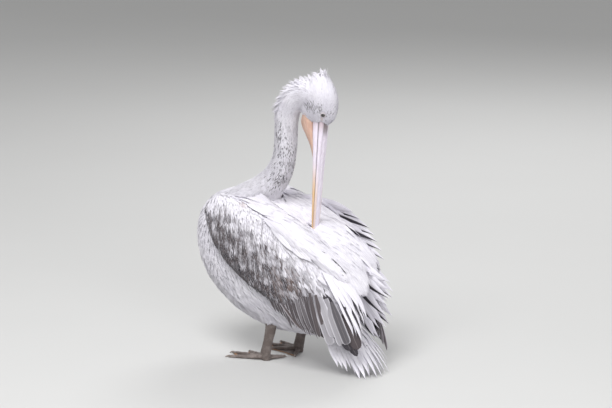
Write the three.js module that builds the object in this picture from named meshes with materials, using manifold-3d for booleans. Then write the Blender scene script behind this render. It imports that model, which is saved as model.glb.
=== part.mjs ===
// A life-size still model of a pink-backed pelican that stands and turns its head back to preen.
// Millimetres, +Z up. The breast faces -Y, the bird's left side is +X, and it stands on z = 0.
// Every soft part is a loft: rings of points, swept along a curve through a few named stations.

import * as THREE from 'three';
import { mergeVertices } from 'three/addons/utils/BufferGeometryUtils.js';
import Module from 'manifold-3d';

const wasm = await Module();
wasm.setup();

// ---------------------------------------------------------------- driving dimensions

const GAP = 0.3; // clearance between neighbouring solids
const LEFT = 1;
const RIGHT = -1;

// The trunk's own axis: it runs back and down from the breast.
const bodyPitch = THREE.MathUtils.degToRad(35);
const bodyHeight = 275; // of the axis above the floor, over the feet

const stance = 62; // each leg's distance from the middle plane
const stride = { [LEFT]: 0, [RIGHT]: 18 }; // how far back each foot stands
const hockHeight = 104;
const shankWidth = 11;
const shankDepth = 16.5;

const billTip = [-22, 89, 350];
const billBase = [0, 127, 668];
const eyeRadius = 7.5;

const solePlane = 0;
const webThickness = 3;

// ---------------------------------------------------------------- lofts

const vector = ([x, y, z]) => new THREE.Vector3(x, y, z);
const mirrored = (side) => ([x, y, z]) => [side * x, y, z];

// A closed three.js geometry as a solid that can be joined and cut.
function solidOf(geometry) {
  const bare = geometry.index ? geometry.toNonIndexed() : geometry.clone();
  bare.deleteAttribute('normal');
  bare.deleteAttribute('uv');
  const merged = mergeVertices(bare, 1e-3);
  const triVerts = new Uint32Array(merged.index.array);
  return new wasm.Manifold(
    new wasm.Mesh({ numProp: 3, vertProperties: merged.attributes.position.array, triVerts })
  );
}

// Sweeps an oval along a smooth curve through the stations. A station is
// { at, half: [side, up, down], side }, where side is the direction of its first half size.
function loft(stations, { sides = 20, rings = 16, grow = 0, fullness = 1 } = {}) {
  const spine = new THREE.CatmullRomCurve3(stations.map((s) => vector(s.at)));
  const sizes = new THREE.CatmullRomCurve3(stations.map((s) => vector(s.half)));
  const across = new THREE.CatmullRomCurve3(stations.map((s) => vector(s.side ?? [1, 0, 0])));
  const tube = new THREE.CylinderGeometry(1, 1, 1, sides, rings);
  const points = tube.attributes.position;
  for (let i = 0; i < points.count; i++) {
    const along = THREE.MathUtils.clamp(points.getY(i) + 0.5, 0, 1);
    const tangent = spine.getTangent(along);
    const side = across.getPoint(along).normalize();
    const up = side.clone().cross(tangent).normalize();
    const size = sizes.getPoint(along);
    const turn = { side: points.getX(i), up: points.getZ(i) };
    const square = (v) => Math.sign(v) * Math.abs(v) ** fullness;
    const height = (turn.up > 0 ? size.y : size.z) + grow;
    const ring = spine.getPoint(along);
    ring.addScaledVector(side, square(turn.side) * (Math.max(size.x, 0.3) + grow));
    ring.addScaledVector(up, square(turn.up) * Math.max(height, 0.3));
    if (along === 0) ring.addScaledVector(tangent, -grow);
    if (along === 1) ring.addScaledVector(tangent, grow);
    points.setXYZ(i, ring.x, ring.y, ring.z);
  }
  return solidOf(tube);
}

const joined = (solids) => wasm.Manifold.union(solids);

// The largest of the pieces that a cut leaves.
function largest(solid) {
  return solid.decompose().sort((a, b) => b.volume() - a.volume())[0];
}

function block(size, centre) {
  const box = new THREE.BoxGeometry(...size);
  box.translate(...centre);
  return solidOf(box);
}

// ---------------------------------------------------------------- trunk and thighs

// A point on the trunk's own axis: a distance along it, and one above it.
function onAxis(along, rise) {
  const c = Math.cos(bodyPitch);
  const s = Math.sin(bodyPitch);
  return [0, along * c + rise * s, bodyHeight - along * s + rise * c];
}

// [distance along the axis, rise of the middle, half width, half depth]
const trunkShape = [
  [-282, -70, 16, 14],
  [-270, -68, 52, 52],
  [-241, -60, 88, 96],
  [-192, -52, 112, 138],
  [-118, -46, 124, 168],
  [-35, -44, 126, 170],
  [45, -40, 120, 152],
  [120, -28, 104, 120],
  [190, -16, 80, 84],
  [248, -6, 56, 46],
  [290, -8, 40, 22],
  [326, -17, 24, 9],
];

function trunkSolid(grow = 0) {
  const stations = trunkShape.map(([along, rise, width, depth]) => ({
    at: onAxis(along, rise),
    half: [width, depth, depth],
  }));
  return loft(stations, { sides: 20, rings: 15, grow });
}

function thighSolid(side, grow = 0) {
  const stations = [
    { at: [side * (stance - 2), 12, 190], half: [38, 62, 62] },
    { at: [side * (stance - 1), 6 + stride[side] / 2, 142], half: [33, 44, 44] },
    { at: [side * stance, 2 + stride[side], 112], half: [22, 27, 27] },
    { at: [side * stance, 1 + stride[side], 96], half: [11, 15, 15] },
  ];
  return loft(stations, { sides: 12, rings: 5, grow });
}

// ---------------------------------------------------------------- neck, head and bill

const neckShape = [
  { at: [0, -150, 392], half: [80, 72, 76] },
  { at: [0, -104, 436], half: [68, 50, 66] },
  { at: [0, -58, 474], half: [54, 37, 52] },
  { at: [0, -20, 510], half: [43, 36, 42] },
  { at: [0, 2, 556], half: [35, 34, 35] },
  { at: [0, 8, 606], half: [33, 33, 34] },
  { at: [0, 10, 656], half: [33, 33, 34] },
  { at: [0, 21, 700], half: [34, 33, 36] },
  { at: [0, 52, 733], half: [35, 34, 37] },
  { at: [0, 92, 742], half: [35, 35, 36] },
  { at: [0, 122, 734], half: [31, 34, 31] },
];

const neckSolid = (grow) => loft(neckShape, { sides: 14, rings: 18, grow });

// The neck is parted halfway up, where a plane crosses it.
const neckParting = 590;

function neckLowerSolid(grow = 0) {
  const above = neckParting - GAP / 2 + grow;
  return neckSolid(grow).subtract(block([400, 900, 600], [0, 0, above + 300]));
}

function neckUpperSolid(grow = 0) {
  const below = neckParting + GAP / 2 - grow;
  return neckSolid(grow).subtract(block([400, 900, 600], [0, 0, below - 300]));
}

// The head hangs face down: its crown faces back (+Y) and its throat faces the neck.
const headShape = [
  { at: [0, 112, 782], half: [16, 22, 16] },
  { at: [0, 118, 772], half: [27, 32, 27] },
  { at: [0, 126, 750], half: [35, 46, 38] },
  { at: [0, 130, 722], half: [35, 52, 58] },
  { at: [0, 128, 697], half: [31, 50, 70] },
  { at: [0, 126, 678], half: [25, 46, 62] },
  { at: [0, 126, 662], half: [17, 32, 32] },
  { at: [0, 126, 652], half: [8, 16, 12] },
];

// Root and tip of each tuft of the short crest on the nape.
const crest = [
  [[5, 112, 768], [9, 120, 803]],
  [[-3, 124, 768], [-5, 138, 806]],
  [[3, 132, 764], [5, 152, 804]],
];

function crestTuft([root, tip], grow) {
  const middle = vector(root).lerp(vector(tip), 0.6).toArray();
  const stations = [
    { at: root, half: [9, 9, 9] },
    { at: middle, half: [5, 4, 4] },
    { at: tip, half: [1.2, 1.2, 1.2] },
  ];
  return loft(stations, { sides: 4, rings: 2, grow });
}

function headSolid(grow = 0) {
  const skull = loft(headShape, { sides: 14, rings: 10, grow });
  return joined([skull, ...crest.map((tuft) => crestTuft(tuft, grow))]);
}

const eyeCentre = (side) => [side * 22, 152, 692];

function eyeSolid(side, grow = 0) {
  const ball = new THREE.SphereGeometry(eyeRadius + grow, 10, 7);
  ball.translate(...eyeCentre(side));
  return solidOf(ball);
}

// A point down the bill, from its base at 0 to its tip at 1, and out towards the culmen (+Y).
function downBill(along, out) {
  const at = vector(billBase).lerp(vector(billTip), along);
  return [at.x, at.y + out, at.z];
}

// [share of the bill, towards the culmen, half width, half depth]
const upperBillShape = [
  [-0.06, 9, 14, 10],
  [0.04, 9, 17, 11],
  [0.2, 8, 16.5, 8.5],
  [0.45, 6, 15, 6.5],
  [0.7, 4.5, 14, 5],
  [0.9, 3.5, 12, 4.2],
  [0.97, 2.5, 8, 4.2],
  [1, 0, 2.5, 3],
];

const lowerBillShape = [
  [-0.04, -11, 15, 9],
  [0.06, -10, 16.5, 8.5],
  [0.25, -8, 15, 6.5],
  [0.5, -6, 13.5, 4.6],
  [0.75, -4.5, 12, 3.6],
  [0.93, -3.5, 9, 2.8],
  [0.965, -3, 3, 2],
];

function billSolid(shape, grow = 0) {
  const stations = shape.map(([along, out, width, depth]) => ({
    at: downBill(along, out),
    half: [width, depth, depth],
  }));
  return loft(stations, { sides: 10, rings: 8, grow, fullness: 0.9 });
}

const upperBillSolid = (grow = 0) => billSolid(upperBillShape, grow);
const lowerBillSolid = (grow = 0) => billSolid(lowerBillShape, grow);

// The folded throat pouch hangs under the lower bill, between it and the neck.
function pouchSolid(grow = 0) {
  const stations = [
    { at: [0, 92, 690], half: [20, 16, 16] },
    { at: [0, 90, 664], half: [16, 22, 26] },
    { at: [-1, 96, 636], half: [12, 18, 20] },
    { at: [-2, 104, 600], half: [9, 12, 12] },
    { at: [-5, 106, 560], half: [7, 8, 7] },
    { at: [-8, 103, 505], half: [5, 5, 4] },
  ];
  return loft(stations, { sides: 10, rings: 8, grow });
}

// ---------------------------------------------------------------- folded wings

// Each station of a folded wing: its lower edge, its upper edge and its half thickness. Both
// tables are written for the left; the right wing is held looser and higher than the left.
const wingShape = {
  [LEFT]: [
    { lower: [128, -176, 412], upper: [122, -166, 440], thick: 12 },
    { lower: [134, -164, 380], upper: [112, -146, 460], thick: 24 },
    { lower: [137, -134, 318], upper: [104, -96, 462], thick: 30 },
    { lower: [136, -72, 256], upper: [98, -26, 440], thick: 32 },
    { lower: [131, 4, 210], upper: [92, 58, 402], thick: 31 },
    { lower: [121, 80, 170], upper: [82, 136, 354], thick: 27 },
    { lower: [104, 150, 134], upper: [66, 204, 298], thick: 20 },
    { lower: [86, 214, 106], upper: [50, 256, 230], thick: 11 },
    { lower: [76, 252, 108], upper: [52, 272, 172], thick: 4 },
  ],
  [RIGHT]: [
    { lower: [128, -176, 412], upper: [120, -164, 442], thick: 12 },
    { lower: [136, -164, 380], upper: [110, -144, 456], thick: 24 },
    { lower: [140, -134, 318], upper: [102, -94, 456], thick: 30 },
    { lower: [142, -72, 256], upper: [104, -18, 438], thick: 32 },
    { lower: [142, 4, 210], upper: [108, 66, 406], thick: 30 },
    { lower: [134, 80, 170], upper: [108, 146, 358], thick: 25 },
    { lower: [122, 150, 134], upper: [100, 210, 300], thick: 18 },
    { lower: [106, 206, 106], upper: [94, 248, 230], thick: 10 },
    { lower: [96, 236, 96], upper: [90, 258, 172], thick: 4 },
  ],
};

function wingSolid(side, grow = 0) {
  const place = mirrored(side);
  const stations = wingShape[side].map(({ lower, upper, thick }) => {
    const low = vector(place(lower));
    const high = vector(place(upper));
    const across = high.clone().sub(low);
    return {
      at: low.clone().add(high).multiplyScalar(0.5).toArray(),
      half: [across.length() / 2, thick, thick],
      side: across.normalize().toArray(),
    };
  });
  return loft(stations, { sides: 14, rings: 12, grow, fullness: 0.85 });
}

// ---------------------------------------------------------------- long feathers

// One feather: a flat lens from root to tip, bulging away from the body in the middle. It lies
// in the plane of its row, and out says which way is away from the body.
function featherSolid({ root, tip, rowward, out, width, thick, bulge, grow = 0 }) {
  const along = tip.clone().sub(root).normalize();
  const side = rowward.clone().addScaledVector(along, -rowward.dot(along)).normalize();
  const outward = along.clone().cross(side);
  outward.multiplyScalar(Math.sign(outward.dot(vector(out))));
  const station = (share, lift, half, depth) => ({
    at: root.clone().lerp(tip, share).addScaledVector(outward, lift * bulge).toArray(),
    half: [half, depth, depth],
    side: side.toArray(),
  });
  const stations = [
    station(0, 0, width * 0.6, thick),
    station(0.4, 0.9, width, thick),
    station(0.75, 0.8, width * 0.95, thick),
    station(0.93, 0.3, width * 0.55, thick),
    station(1, 0, 2.5, thick * 0.6),
  ];
  return loft(stations, { sides: 4, rings: 3, grow });
}

// A row of feathers whose roots and tips lie on two smooth curves.
function featherRow({ roots, tips, count, width, thick, bulge, out }, grow = 0) {
  const rootLine = new THREE.CatmullRomCurve3(roots.map(vector));
  const tipLine = new THREE.CatmullRomCurve3(tips.map(vector));
  const feathers = [];
  for (let i = 0; i < count; i++) {
    const share = i / (count - 1);
    const root = rootLine.getPoint(share);
    const tip = tipLine.getPoint(share);
    const rowward = rootLine.getTangent(share).add(tipLine.getTangent(share));
    feathers.push(featherSolid({ root, tip, rowward, out, width, thick, bulge, grow }));
  }
  return joined(feathers);
}

// The left wing lies close; the right one is loosened, with its upper feathers spread.
const featherRows = {
  scapulars_left: {
    roots: [[96, -70, 440], [80, -60, 452], [58, -40, 452]],
    tips: [[84, 190, 322], [62, 250, 268], [34, 264, 244]],
    count: 4, width: 24, thick: 4, bulge: 26, out: [0.5, 0.45, 0.8],
  },
  scapulars_right: {
    roots: [[-50, -60, 444], [-76, -20, 430], [-92, 20, 404]],
    tips: [[-36, 250, 254], [-84, 250, 244], [-126, 232, 252]],
    count: 4, width: 28, thick: 4, bulge: 26, out: [-0.4, 0.6, 0.7],
  },
  tertials_right: {
    roots: [[-92, -40, 424], [-108, -20, 410], [-120, 0, 390], [-128, 30, 364]],
    tips: [[-150, 120, 394], [-164, 157, 354], [-169, 188, 320], [-168, 198, 280]],
    count: 5, width: 18, thick: 3.5, bulge: 16, out: [-0.3, 0.5, 0.85],
  },
  secondaries_right: {
    roots: [[-126, 40, 330], [-128, 50, 290], [-126, 66, 250], [-118, 90, 220]],
    tips: [[-160, 241, 213], [-150, 256, 169], [-136, 257, 115], [-120, 252, 58]],
    count: 6, width: 19, thick: 3, bulge: 16, out: [-1, 0.3, 0.2],
  },
  // The tail fan: its middle feathers are the longest, and their tips rest on the floor.
  tail: {
    roots: [[44, 176, 122], [26, 188, 130], [0, 194, 134], [-24, 190, 132], [-46, 182, 128]],
    tips: [[66, 236, 24], [52, 276, 5], [34, 320, 2], [-18, 332, 3], [-86, 290, 18]],
    count: 9, width: 16, thick: 3, bulge: 8, out: [0, 0.75, 0.66],
  },
  primaries_left: {
    roots: [[118, 40, 250], [104, 110, 262], [84, 170, 268]],
    tips: [[112, 150, 128], [88, 232, 92], [70, 296, 70]],
    count: 6, width: 19, thick: 3, bulge: 14, out: [1, 0.15, 0.1],
  },
  tertials_left: {
    roots: [[92, 130, 300], [76, 160, 300], [56, 180, 290]],
    tips: [[70, 292, 96], [52, 306, 120], [34, 304, 160]],
    count: 3, width: 20, thick: 3, bulge: 14, out: [0.8, 0.5, 0.3],
  },
  primaries_right: {
    roots: [[-120, 40, 250], [-112, 100, 270], [-100, 130, 300]],
    tips: [[-114, 150, 128], [-106, 230, 76], [-96, 268, 62]],
    count: 5, width: 19, thick: 3, bulge: 12, out: [-1, 0.15, 0.1],
  },
};

// Nothing reaches below the floor.
const aboveFloor = (solid) => solid.subtract(block([600, 900, 60], [0, 0, solePlane - 30]));

// ---------------------------------------------------------------- shanks and webbed feet

function shankSolid(side, grow = 0) {
  const at = (y, z) => [side * stance, stride[side] + y, z];
  const stations = [
    { at: at(5, hockHeight + 4), half: [shankWidth + 1, shankDepth, shankDepth] },
    { at: at(3, hockHeight - 14), half: [shankWidth, shankDepth - 1, shankDepth - 1] },
    { at: at(-5, 58), half: [shankWidth - 1, shankDepth - 3, shankDepth - 3] },
    { at: at(-13, 26), half: [shankWidth, shankDepth - 2, shankDepth - 2] },
    { at: at(-16, 14), half: [shankWidth + 1, shankDepth, shankDepth] },
  ];
  return loft(stations, { sides: 8, rings: 6, grow });
}

// [bearing from straight ahead in degrees, positive outwards, and length]
const toes = [[24, 104], [2, 112], [-22, 88], [-118, 58]];
const ankle = [0, -16];

// Where a toe ends, seen from above, on the bird's left foot.
function toeEnd([bearing, length], share = 1) {
  const angle = THREE.MathUtils.degToRad(bearing);
  return [ankle[0] + Math.sin(angle) * length * share, ankle[1] - Math.cos(angle) * length * share];
}

function toeSolid(toe, side) {
  const at = (share, height) => {
    const [x, y] = toeEnd(toe, share);
    return [side * (stance + x), stride[side] + y, height];
  };
  const stations = [
    { at: at(0, 9), half: [8, 8, 8] },
    { at: at(0.3, 7), half: [6.5, 6, 6.5] },
    { at: at(0.6, 5.5), half: [5.4, 5, 5] },
    { at: at(0.9, 4), half: [4.2, 4, 4] },
    { at: at(1, 3), half: [3.4, 3, 3] },
    { at: at(1.1, 1.4), half: [1.1, 1, 1] },
  ];
  return loft(stations, { sides: 6, rings: 5 });
}

function webSolid(side) {
  const outline = new THREE.Shape();
  const ends = toes.map((toe) => toeEnd(toe, 0.97));
  outline.moveTo(ankle[0] + 6, ankle[1] + 6);
  outline.lineTo(...ends[0]);
  for (let i = 0; i + 1 < ends.length; i++) {
    const middle = toeEnd([(toes[i][0] + toes[i + 1][0]) / 2, (toes[i][1] + toes[i + 1][1]) / 2], 0.8);
    outline.quadraticCurveTo(...middle, ...ends[i + 1]);
  }
  outline.closePath();
  const web = new THREE.ExtrudeGeometry(outline, {
    depth: webThickness, bevelEnabled: false, curveSegments: 3,
  });
  if (side === RIGHT) {
    web.scale(-1, 1, 1);
    const flipped = web.toNonIndexed();
    const corners = flipped.attributes.position;
    for (let i = 0; i < corners.count; i += 3) {
      const held = new THREE.Vector3().fromBufferAttribute(corners, i);
      corners.setXYZ(i, corners.getX(i + 1), corners.getY(i + 1), corners.getZ(i + 1));
      corners.setXYZ(i + 1, held.x, held.y, held.z);
    }
    flipped.translate(side * stance, stride[side], solePlane);
    return solidOf(flipped);
  }
  web.translate(side * stance, stride[side], solePlane);
  return solidOf(web);
}

function footSolid(side, grow = 0) {
  const heel = block([19 + grow, 26 + grow, 16], [side * stance, stride[side] + ankle[1] + 1, 8]);
  const whole = joined([heel, webSolid(side), ...toes.map((toe) => toeSolid(toe, side))]);
  return aboveFloor(whole);
}

// ---------------------------------------------------------------- nodes

const colours = {
  plumage: 0xf1eeee, covert: 0xa9a1a4, bill: 0xd9c6c9, pouch: 0xe6c3a8, leg: 0xa8989a, eye: 0x1d1514,
};

function meshOf(name, solid, colour, roughness = 0.85) {
  const { vertProperties, triVerts, numProp } = solid.getMesh();
  const points = new Float32Array((vertProperties.length / numProp) * 3);
  for (let i = 0; i < points.length / 3; i++) {
    points.set(vertProperties.subarray(i * numProp, i * numProp + 3), i * 3);
  }
  const geometry = new THREE.BufferGeometry();
  geometry.setAttribute('position', new THREE.BufferAttribute(points, 3));
  geometry.setIndex(new THREE.BufferAttribute(new Uint32Array(triVerts), 1));
  geometry.computeVertexNormals();
  const mesh = new THREE.Mesh(
    geometry, new THREE.MeshStandardMaterial({ color: colour, roughness, metalness: 0 })
  );
  mesh.name = name;
  return mesh;
}

const both = (name, colour, roughness, make) => [
  [`${name}_left`, colour, roughness, (grow) => make(LEFT, grow)],
  [`${name}_right`, colour, roughness, (grow) => make(RIGHT, grow)],
];

// Every piece, in the order in which they keep their shape: each is cut by those before it.
const pieces = [
  ['bill_upper', colours.bill, 0.45, upperBillSolid],
  ['bill_lower', colours.bill, 0.45, lowerBillSolid],
  ...both('eye', colours.eye, 0.1, eyeSolid),
  ['head', colours.plumage, 0.85, headSolid],
  ['throat_pouch', colours.pouch, 0.6, pouchSolid],
  ...both('shank', colours.leg, 0.6, shankSolid),
  ...both('foot', colours.leg, 0.6, footSolid),
  ...both('thigh', colours.plumage, 0.85, thighSolid),
  ['trunk', colours.plumage, 0.85, trunkSolid],
  ['neck_lower', colours.plumage, 0.85, neckLowerSolid],
  ['neck_upper', colours.plumage, 0.85, neckUpperSolid],
  ...both('wing', colours.covert, 0.85, wingSolid),
  ...Object.entries(featherRows).map(([name, row]) => [
    name, colours.plumage, 0.85, (grow) => aboveFloor(featherRow(row, grow)),
  ]),
];

function touching(a, b) {
  return [0, 1, 2].every((axis) => a.min[axis] < b.max[axis] && b.min[axis] < a.max[axis]);
}

const bird = new THREE.Group();
const placed = [];
for (const [name, colour, roughness, make] of pieces) {
  let solid = make(0);
  const bounds = solid.boundingBox();
  for (const earlier of placed) {
    if (touching(bounds, earlier.boundingBox())) solid = solid.subtract(earlier);
  }
  bird.add(meshOf(name, largest(solid), colour, roughness));
  placed.push(make(GAP));
}

// The origin is under the middle of the whole bird.
const box = new THREE.Box3().setFromObject(bird);
const middle = box.getCenter(new THREE.Vector3());
bird.position.set(-middle.x, -middle.y, -box.min.z);

export default bird;
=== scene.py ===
"""Builds the looks of a life-size standing pelican, feather by feather, around its CAD frame."""

import math

import bpy
import numpy as np
from bpy.props import FloatProperty, FloatVectorProperty, PointerProperty
from mathutils import Matrix, Vector
from mathutils.bvhtree import BVHTree
from mathutils.kdtree import KDTree


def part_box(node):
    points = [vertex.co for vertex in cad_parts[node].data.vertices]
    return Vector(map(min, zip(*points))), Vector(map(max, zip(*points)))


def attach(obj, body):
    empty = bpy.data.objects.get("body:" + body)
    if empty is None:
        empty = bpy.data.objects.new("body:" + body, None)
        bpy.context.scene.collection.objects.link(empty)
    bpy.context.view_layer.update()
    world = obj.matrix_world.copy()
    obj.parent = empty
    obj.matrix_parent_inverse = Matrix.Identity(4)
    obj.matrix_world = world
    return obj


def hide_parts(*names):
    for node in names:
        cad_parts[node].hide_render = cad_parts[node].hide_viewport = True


bl_info = {
    "name": "Preening Pelican",
    "version": (1, 0, 0),
    "blender": (4, 5, 0),
    "location": "3D View > Sidebar > Pelican",
    "description": "Skin, feathers, bill and feet of a life-size standing pelican",
    "category": "Object",
}

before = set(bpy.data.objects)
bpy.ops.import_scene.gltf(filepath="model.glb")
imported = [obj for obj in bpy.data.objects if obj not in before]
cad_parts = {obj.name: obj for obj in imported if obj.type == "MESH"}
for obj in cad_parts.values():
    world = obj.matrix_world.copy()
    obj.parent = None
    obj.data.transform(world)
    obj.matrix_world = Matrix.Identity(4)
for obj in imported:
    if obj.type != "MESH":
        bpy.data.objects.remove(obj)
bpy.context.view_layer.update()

# Shapes are worked out in millimetres, from the spot on the floor between the feet. The breast
# faces -Y and the bird's left side is +X. The left eye says where that spot is in the frame.
MM = 0.001
EYE = np.array((22.0, 152.0, 692.0))
HOME = np.array((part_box("eye_left")[0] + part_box("eye_left")[1]) / 2) - EYE * MM
LEFT, RIGHT = 1, -1
SIDES = {"left": LEFT, "right": RIGHT}
FLESH = ("head", "neck_lower", "neck_upper", "trunk", "thigh_left", "thigh_right")
FLESH += ("wing_left", "wing_right")

# The neck's middle line, from its base to the nape.
NECK_LINE = ((0, -150, 392), (0, -58, 474), (0, 2, 556), (0, 10, 656), (0, 52, 733), (0, 122, 734))
BODY_AXIS = np.array((0.0, 0.819, -0.574))
NECK_BASE = np.array((0.0, -140.0, 425.0))
BILL_BASE = np.array((0.0, 127.0, 668.0))
BILL_TIP = np.array((-22.0, 89.0, 350.0))

# The folded wing's upper and lower edges on the left side, from the wrist to its rear end.
WING_UPPER = ((124, -160, 440), (104, -96, 462), (92, 58, 402), (66, 204, 298), (52, 272, 172))
WING_LOWER = ((128, -176, 412), (137, -134, 318), (131, 4, 210), (104, 150, 134), (76, 252, 108))

# Small feathers have small patches in the unwrap, and long ones have strips in lanes.
PATCH_SIZE, BROAD_PATCH_SIZE = (0.003, 0.003), (0.012, 0.012)
LANES, STRIP_ROWS, STRIP_SIZE = 40, 3, (0.019, 0.30)
# No feather comes nearer to the floor than LOWEST, and each starts ROOT_DEPTH under the skin.
LOWEST, ROOT_DEPTH = 0.3, 0.6


# ------------------------------------------------------------------ numbers


def spline(points, share):
    """A smooth curve through the points, at each share of its length from 0 to 1."""
    p = np.asarray(points, float)
    p = np.vstack([2 * p[0] - p[1], p, 2 * p[-1] - p[-2]])
    x = np.clip(np.asarray(share, float), 0, 1) * (len(p) - 3)
    i = np.minimum(x.astype(int), len(p) - 4)
    f = (x - i)[..., None]
    a, b, c, d = p[i], p[i + 1], p[i + 2], p[i + 3]
    cubic = 3 * b - a - 3 * c + d
    return 0.5 * (2 * b + (c - a) * f + (2 * a - 5 * b + 4 * c - d) * f**2 + cubic * f**3)


def unit(v):
    """v at a length of 1."""
    return v / np.maximum(np.linalg.norm(v, axis=-1, keepdims=True), 1e-9)


def dot(a, b):
    return (a * b).sum(-1)


def smooth(low, high, x):
    """0 below low, 1 above high, and an even slope between them. low may be the larger one."""
    t = np.clip((x - low) / (high - low), 0, 1)
    return t * t * (3 - 2 * t)


def near(points, place, size):
    """1 at a place, falling to 0 over about that size."""
    return np.exp(-(((points - np.array(place)) / size) ** 2).sum(-1))


def hump(x, middle, width):
    """1 at the middle, falling to 0 on both sides over about that width."""
    return np.exp(-(((x - middle) / width) ** 2))


def mirrored(points):
    """The points, with the right half folded over on to the left."""
    return np.abs(points * (1, 0, 0)) + points * (0, 1, 1)


def around(count):
    """Angles spread evenly round a circle."""
    return np.linspace(0, 2 * math.pi, count, endpoint=False)


def laid(way, up):
    """A direction laid flat on a surface, whose way out is up."""
    return unit(way - up * dot(way, up)[:, None])


def halves(quads):
    """Quads cut into triangles."""
    return np.concatenate([quads[:, :3], quads[:, [0, 2, 3]]])


def spread(*marks):
    """Marks in four columns, from single numbers and arrays."""
    return np.stack(np.broadcast_arrays(*marks), -1).astype(float)


def turned(v, axis, angle):
    """v turned about a unit axis by an angle in radians, for vectors at right angles to it."""
    c, s = np.cos(angle)[..., None], np.sin(angle)[..., None]
    return v * c + np.cross(axis, v) * s


def blotches(points, size, seed):
    """Smooth noise from -1 to 1 whose blotches are about the given size."""
    rng = np.random.default_rng(seed)
    total = 0
    for _ in range(6):
        wave = rng.normal(size=3) * 2.2 / np.asarray(size, float)
        total = total + np.sin(points @ wave + rng.uniform(0, 2 * math.pi))
    return total / 3.2


# ------------------------------------------------------------------ meshes


def volume(points, faces):
    """Six times the volume inside closed faces, below 0 where they face inwards."""
    middle, total = points.mean(0), 0.0
    for group in faces:
        for i in range(1, group.shape[1] - 1):
            a, b, c = (points[group[:, k]] - middle for k in (0, i, i + 1))
            total += dot(a, np.cross(b, c)).sum()
    return total


def build(name, points, faces, material, marks=None, vane=None, patches=None, normals=None):
    """A mesh object from points in millimetres. faces is a list of arrays, one for each number
    of corners. marks, vane and normals are values at the points, and patches are UVs there."""
    mesh = bpy.data.meshes.new(name)
    faces = [np.asarray(f, np.int32) for f in faces if len(f)]
    if volume(points, faces) < 0:
        faces = [f[:, ::-1] for f in faces]
    corners = np.concatenate([f.ravel() for f in faces])
    sizes = np.concatenate([np.full(len(f), f.shape[1], np.int32) for f in faces])
    mesh.vertices.add(len(points))
    mesh.vertices.foreach_set("co", (points * MM + HOME).astype(np.float32).ravel())
    mesh.loops.add(len(corners))
    mesh.loops.foreach_set("vertex_index", corners)
    mesh.polygons.add(len(sizes))
    starts = np.concatenate([[0], np.cumsum(sizes)[:-1]]).astype(np.int32)
    mesh.polygons.foreach_set("loop_start", starts)
    mesh.update(calc_edges=True)
    mesh.validate()
    mesh.shade_smooth()
    fields = (("marks", "FLOAT_COLOR", "color", marks), ("vane", "FLOAT_VECTOR", "vector", vane))
    for label, kind, key, values in fields:
        if values is not None:
            layer = mesh.attributes.new(label, kind, "POINT")
            layer.data.foreach_set(key, values.astype(np.float32).ravel())
    if patches is not None:
        layer = mesh.uv_layers.new(name="OFBake")
        layer.uv.foreach_set("vector", patches[corners].astype(np.float32).ravel())
    if normals is not None:
        mesh.normals_split_custom_set_from_vertices(normals.tolist())
    mesh.materials.append(material)
    thing = bpy.data.objects.new(name, mesh)
    bpy.context.collection.objects.link(thing)
    return thing


def wear(thing, slot, *nodes):
    """Puts a finished piece on the body, in place of the named nodes."""
    if nodes:
        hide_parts(*nodes)
    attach(thing, "root")


def tube(rings):
    """The points of a closed tube of rings, its quads, and the fans that close its two ends."""
    count, sides = rings.shape[:2]
    ring, side = np.meshgrid(np.arange(count - 1), np.arange(sides), indexing="ij")
    a, b = ring * sides + side, ring * sides + (side + 1) % sides
    quads = np.stack([a, b, b + sides, a + sides], -1).reshape(-1, 4)
    edge, last, start = np.arange(sides), (count - 1) * sides, count * sides
    following = (edge + 1) % sides
    first_fan = np.stack([np.full(sides, start), following, edge], -1)
    last_fan = np.stack([np.full(sides, start + 1), last + edge, last + following], -1)
    points = np.concatenate([rings.reshape(-1, 3), [rings[0].mean(0), rings[-1].mean(0)]])
    return points, quads, np.concatenate([first_fan, last_fan])


def build_tubes(name, finish, *parts):
    """One mesh of closed tubes, each given as its rings and the marks on them."""
    points, quads, fans, marks, total = [], [], [], [], 0
    for rings, mark in parts:
        mark = np.broadcast_to(np.asarray(mark, float), (*rings.shape[:2], 4))
        part, part_quads, part_fans = tube(rings)
        points.append(part)
        quads.append(part_quads + total)
        fans.append(part_fans + total)
        marks += [mark.reshape(-1, 4), mark[[0, -1]].mean(1)]
        total += len(part)
    faces = [np.concatenate(quads), np.concatenate(fans)]
    return build(name, np.concatenate(points), faces, finish_of(finish), np.concatenate(marks))


def ringed(line, across, up):
    """Rings of points round a line: across the bird, and up square to that and to the line."""
    side = np.array((1.0, 0, 0))
    over = unit(np.cross(side, unit(np.gradient(line, axis=0))))
    return line[:, None] + side * across[..., None] + over[:, None] * up[..., None]


def fetch(items, field, width, kind=np.int32):
    """One field of a mesh's items, of width numbers each."""
    flat = np.empty(len(items) * width, kind)
    items.foreach_get(field, flat)
    return flat.reshape(-1, width)


def points_of(mesh):
    """A mesh's points in millimetres, from the spot on the floor between the feet."""
    return (fetch(mesh.vertices, "co", 3, np.float32).astype(float) - HOME) / MM


# ------------------------------------------------------------------ the skin as a ground


# Roots are tried this many times as thickly as wanted, and stand at least this share of the
# spacing apart.
TRIALS, NEAREST = 4, 0.84


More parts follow.
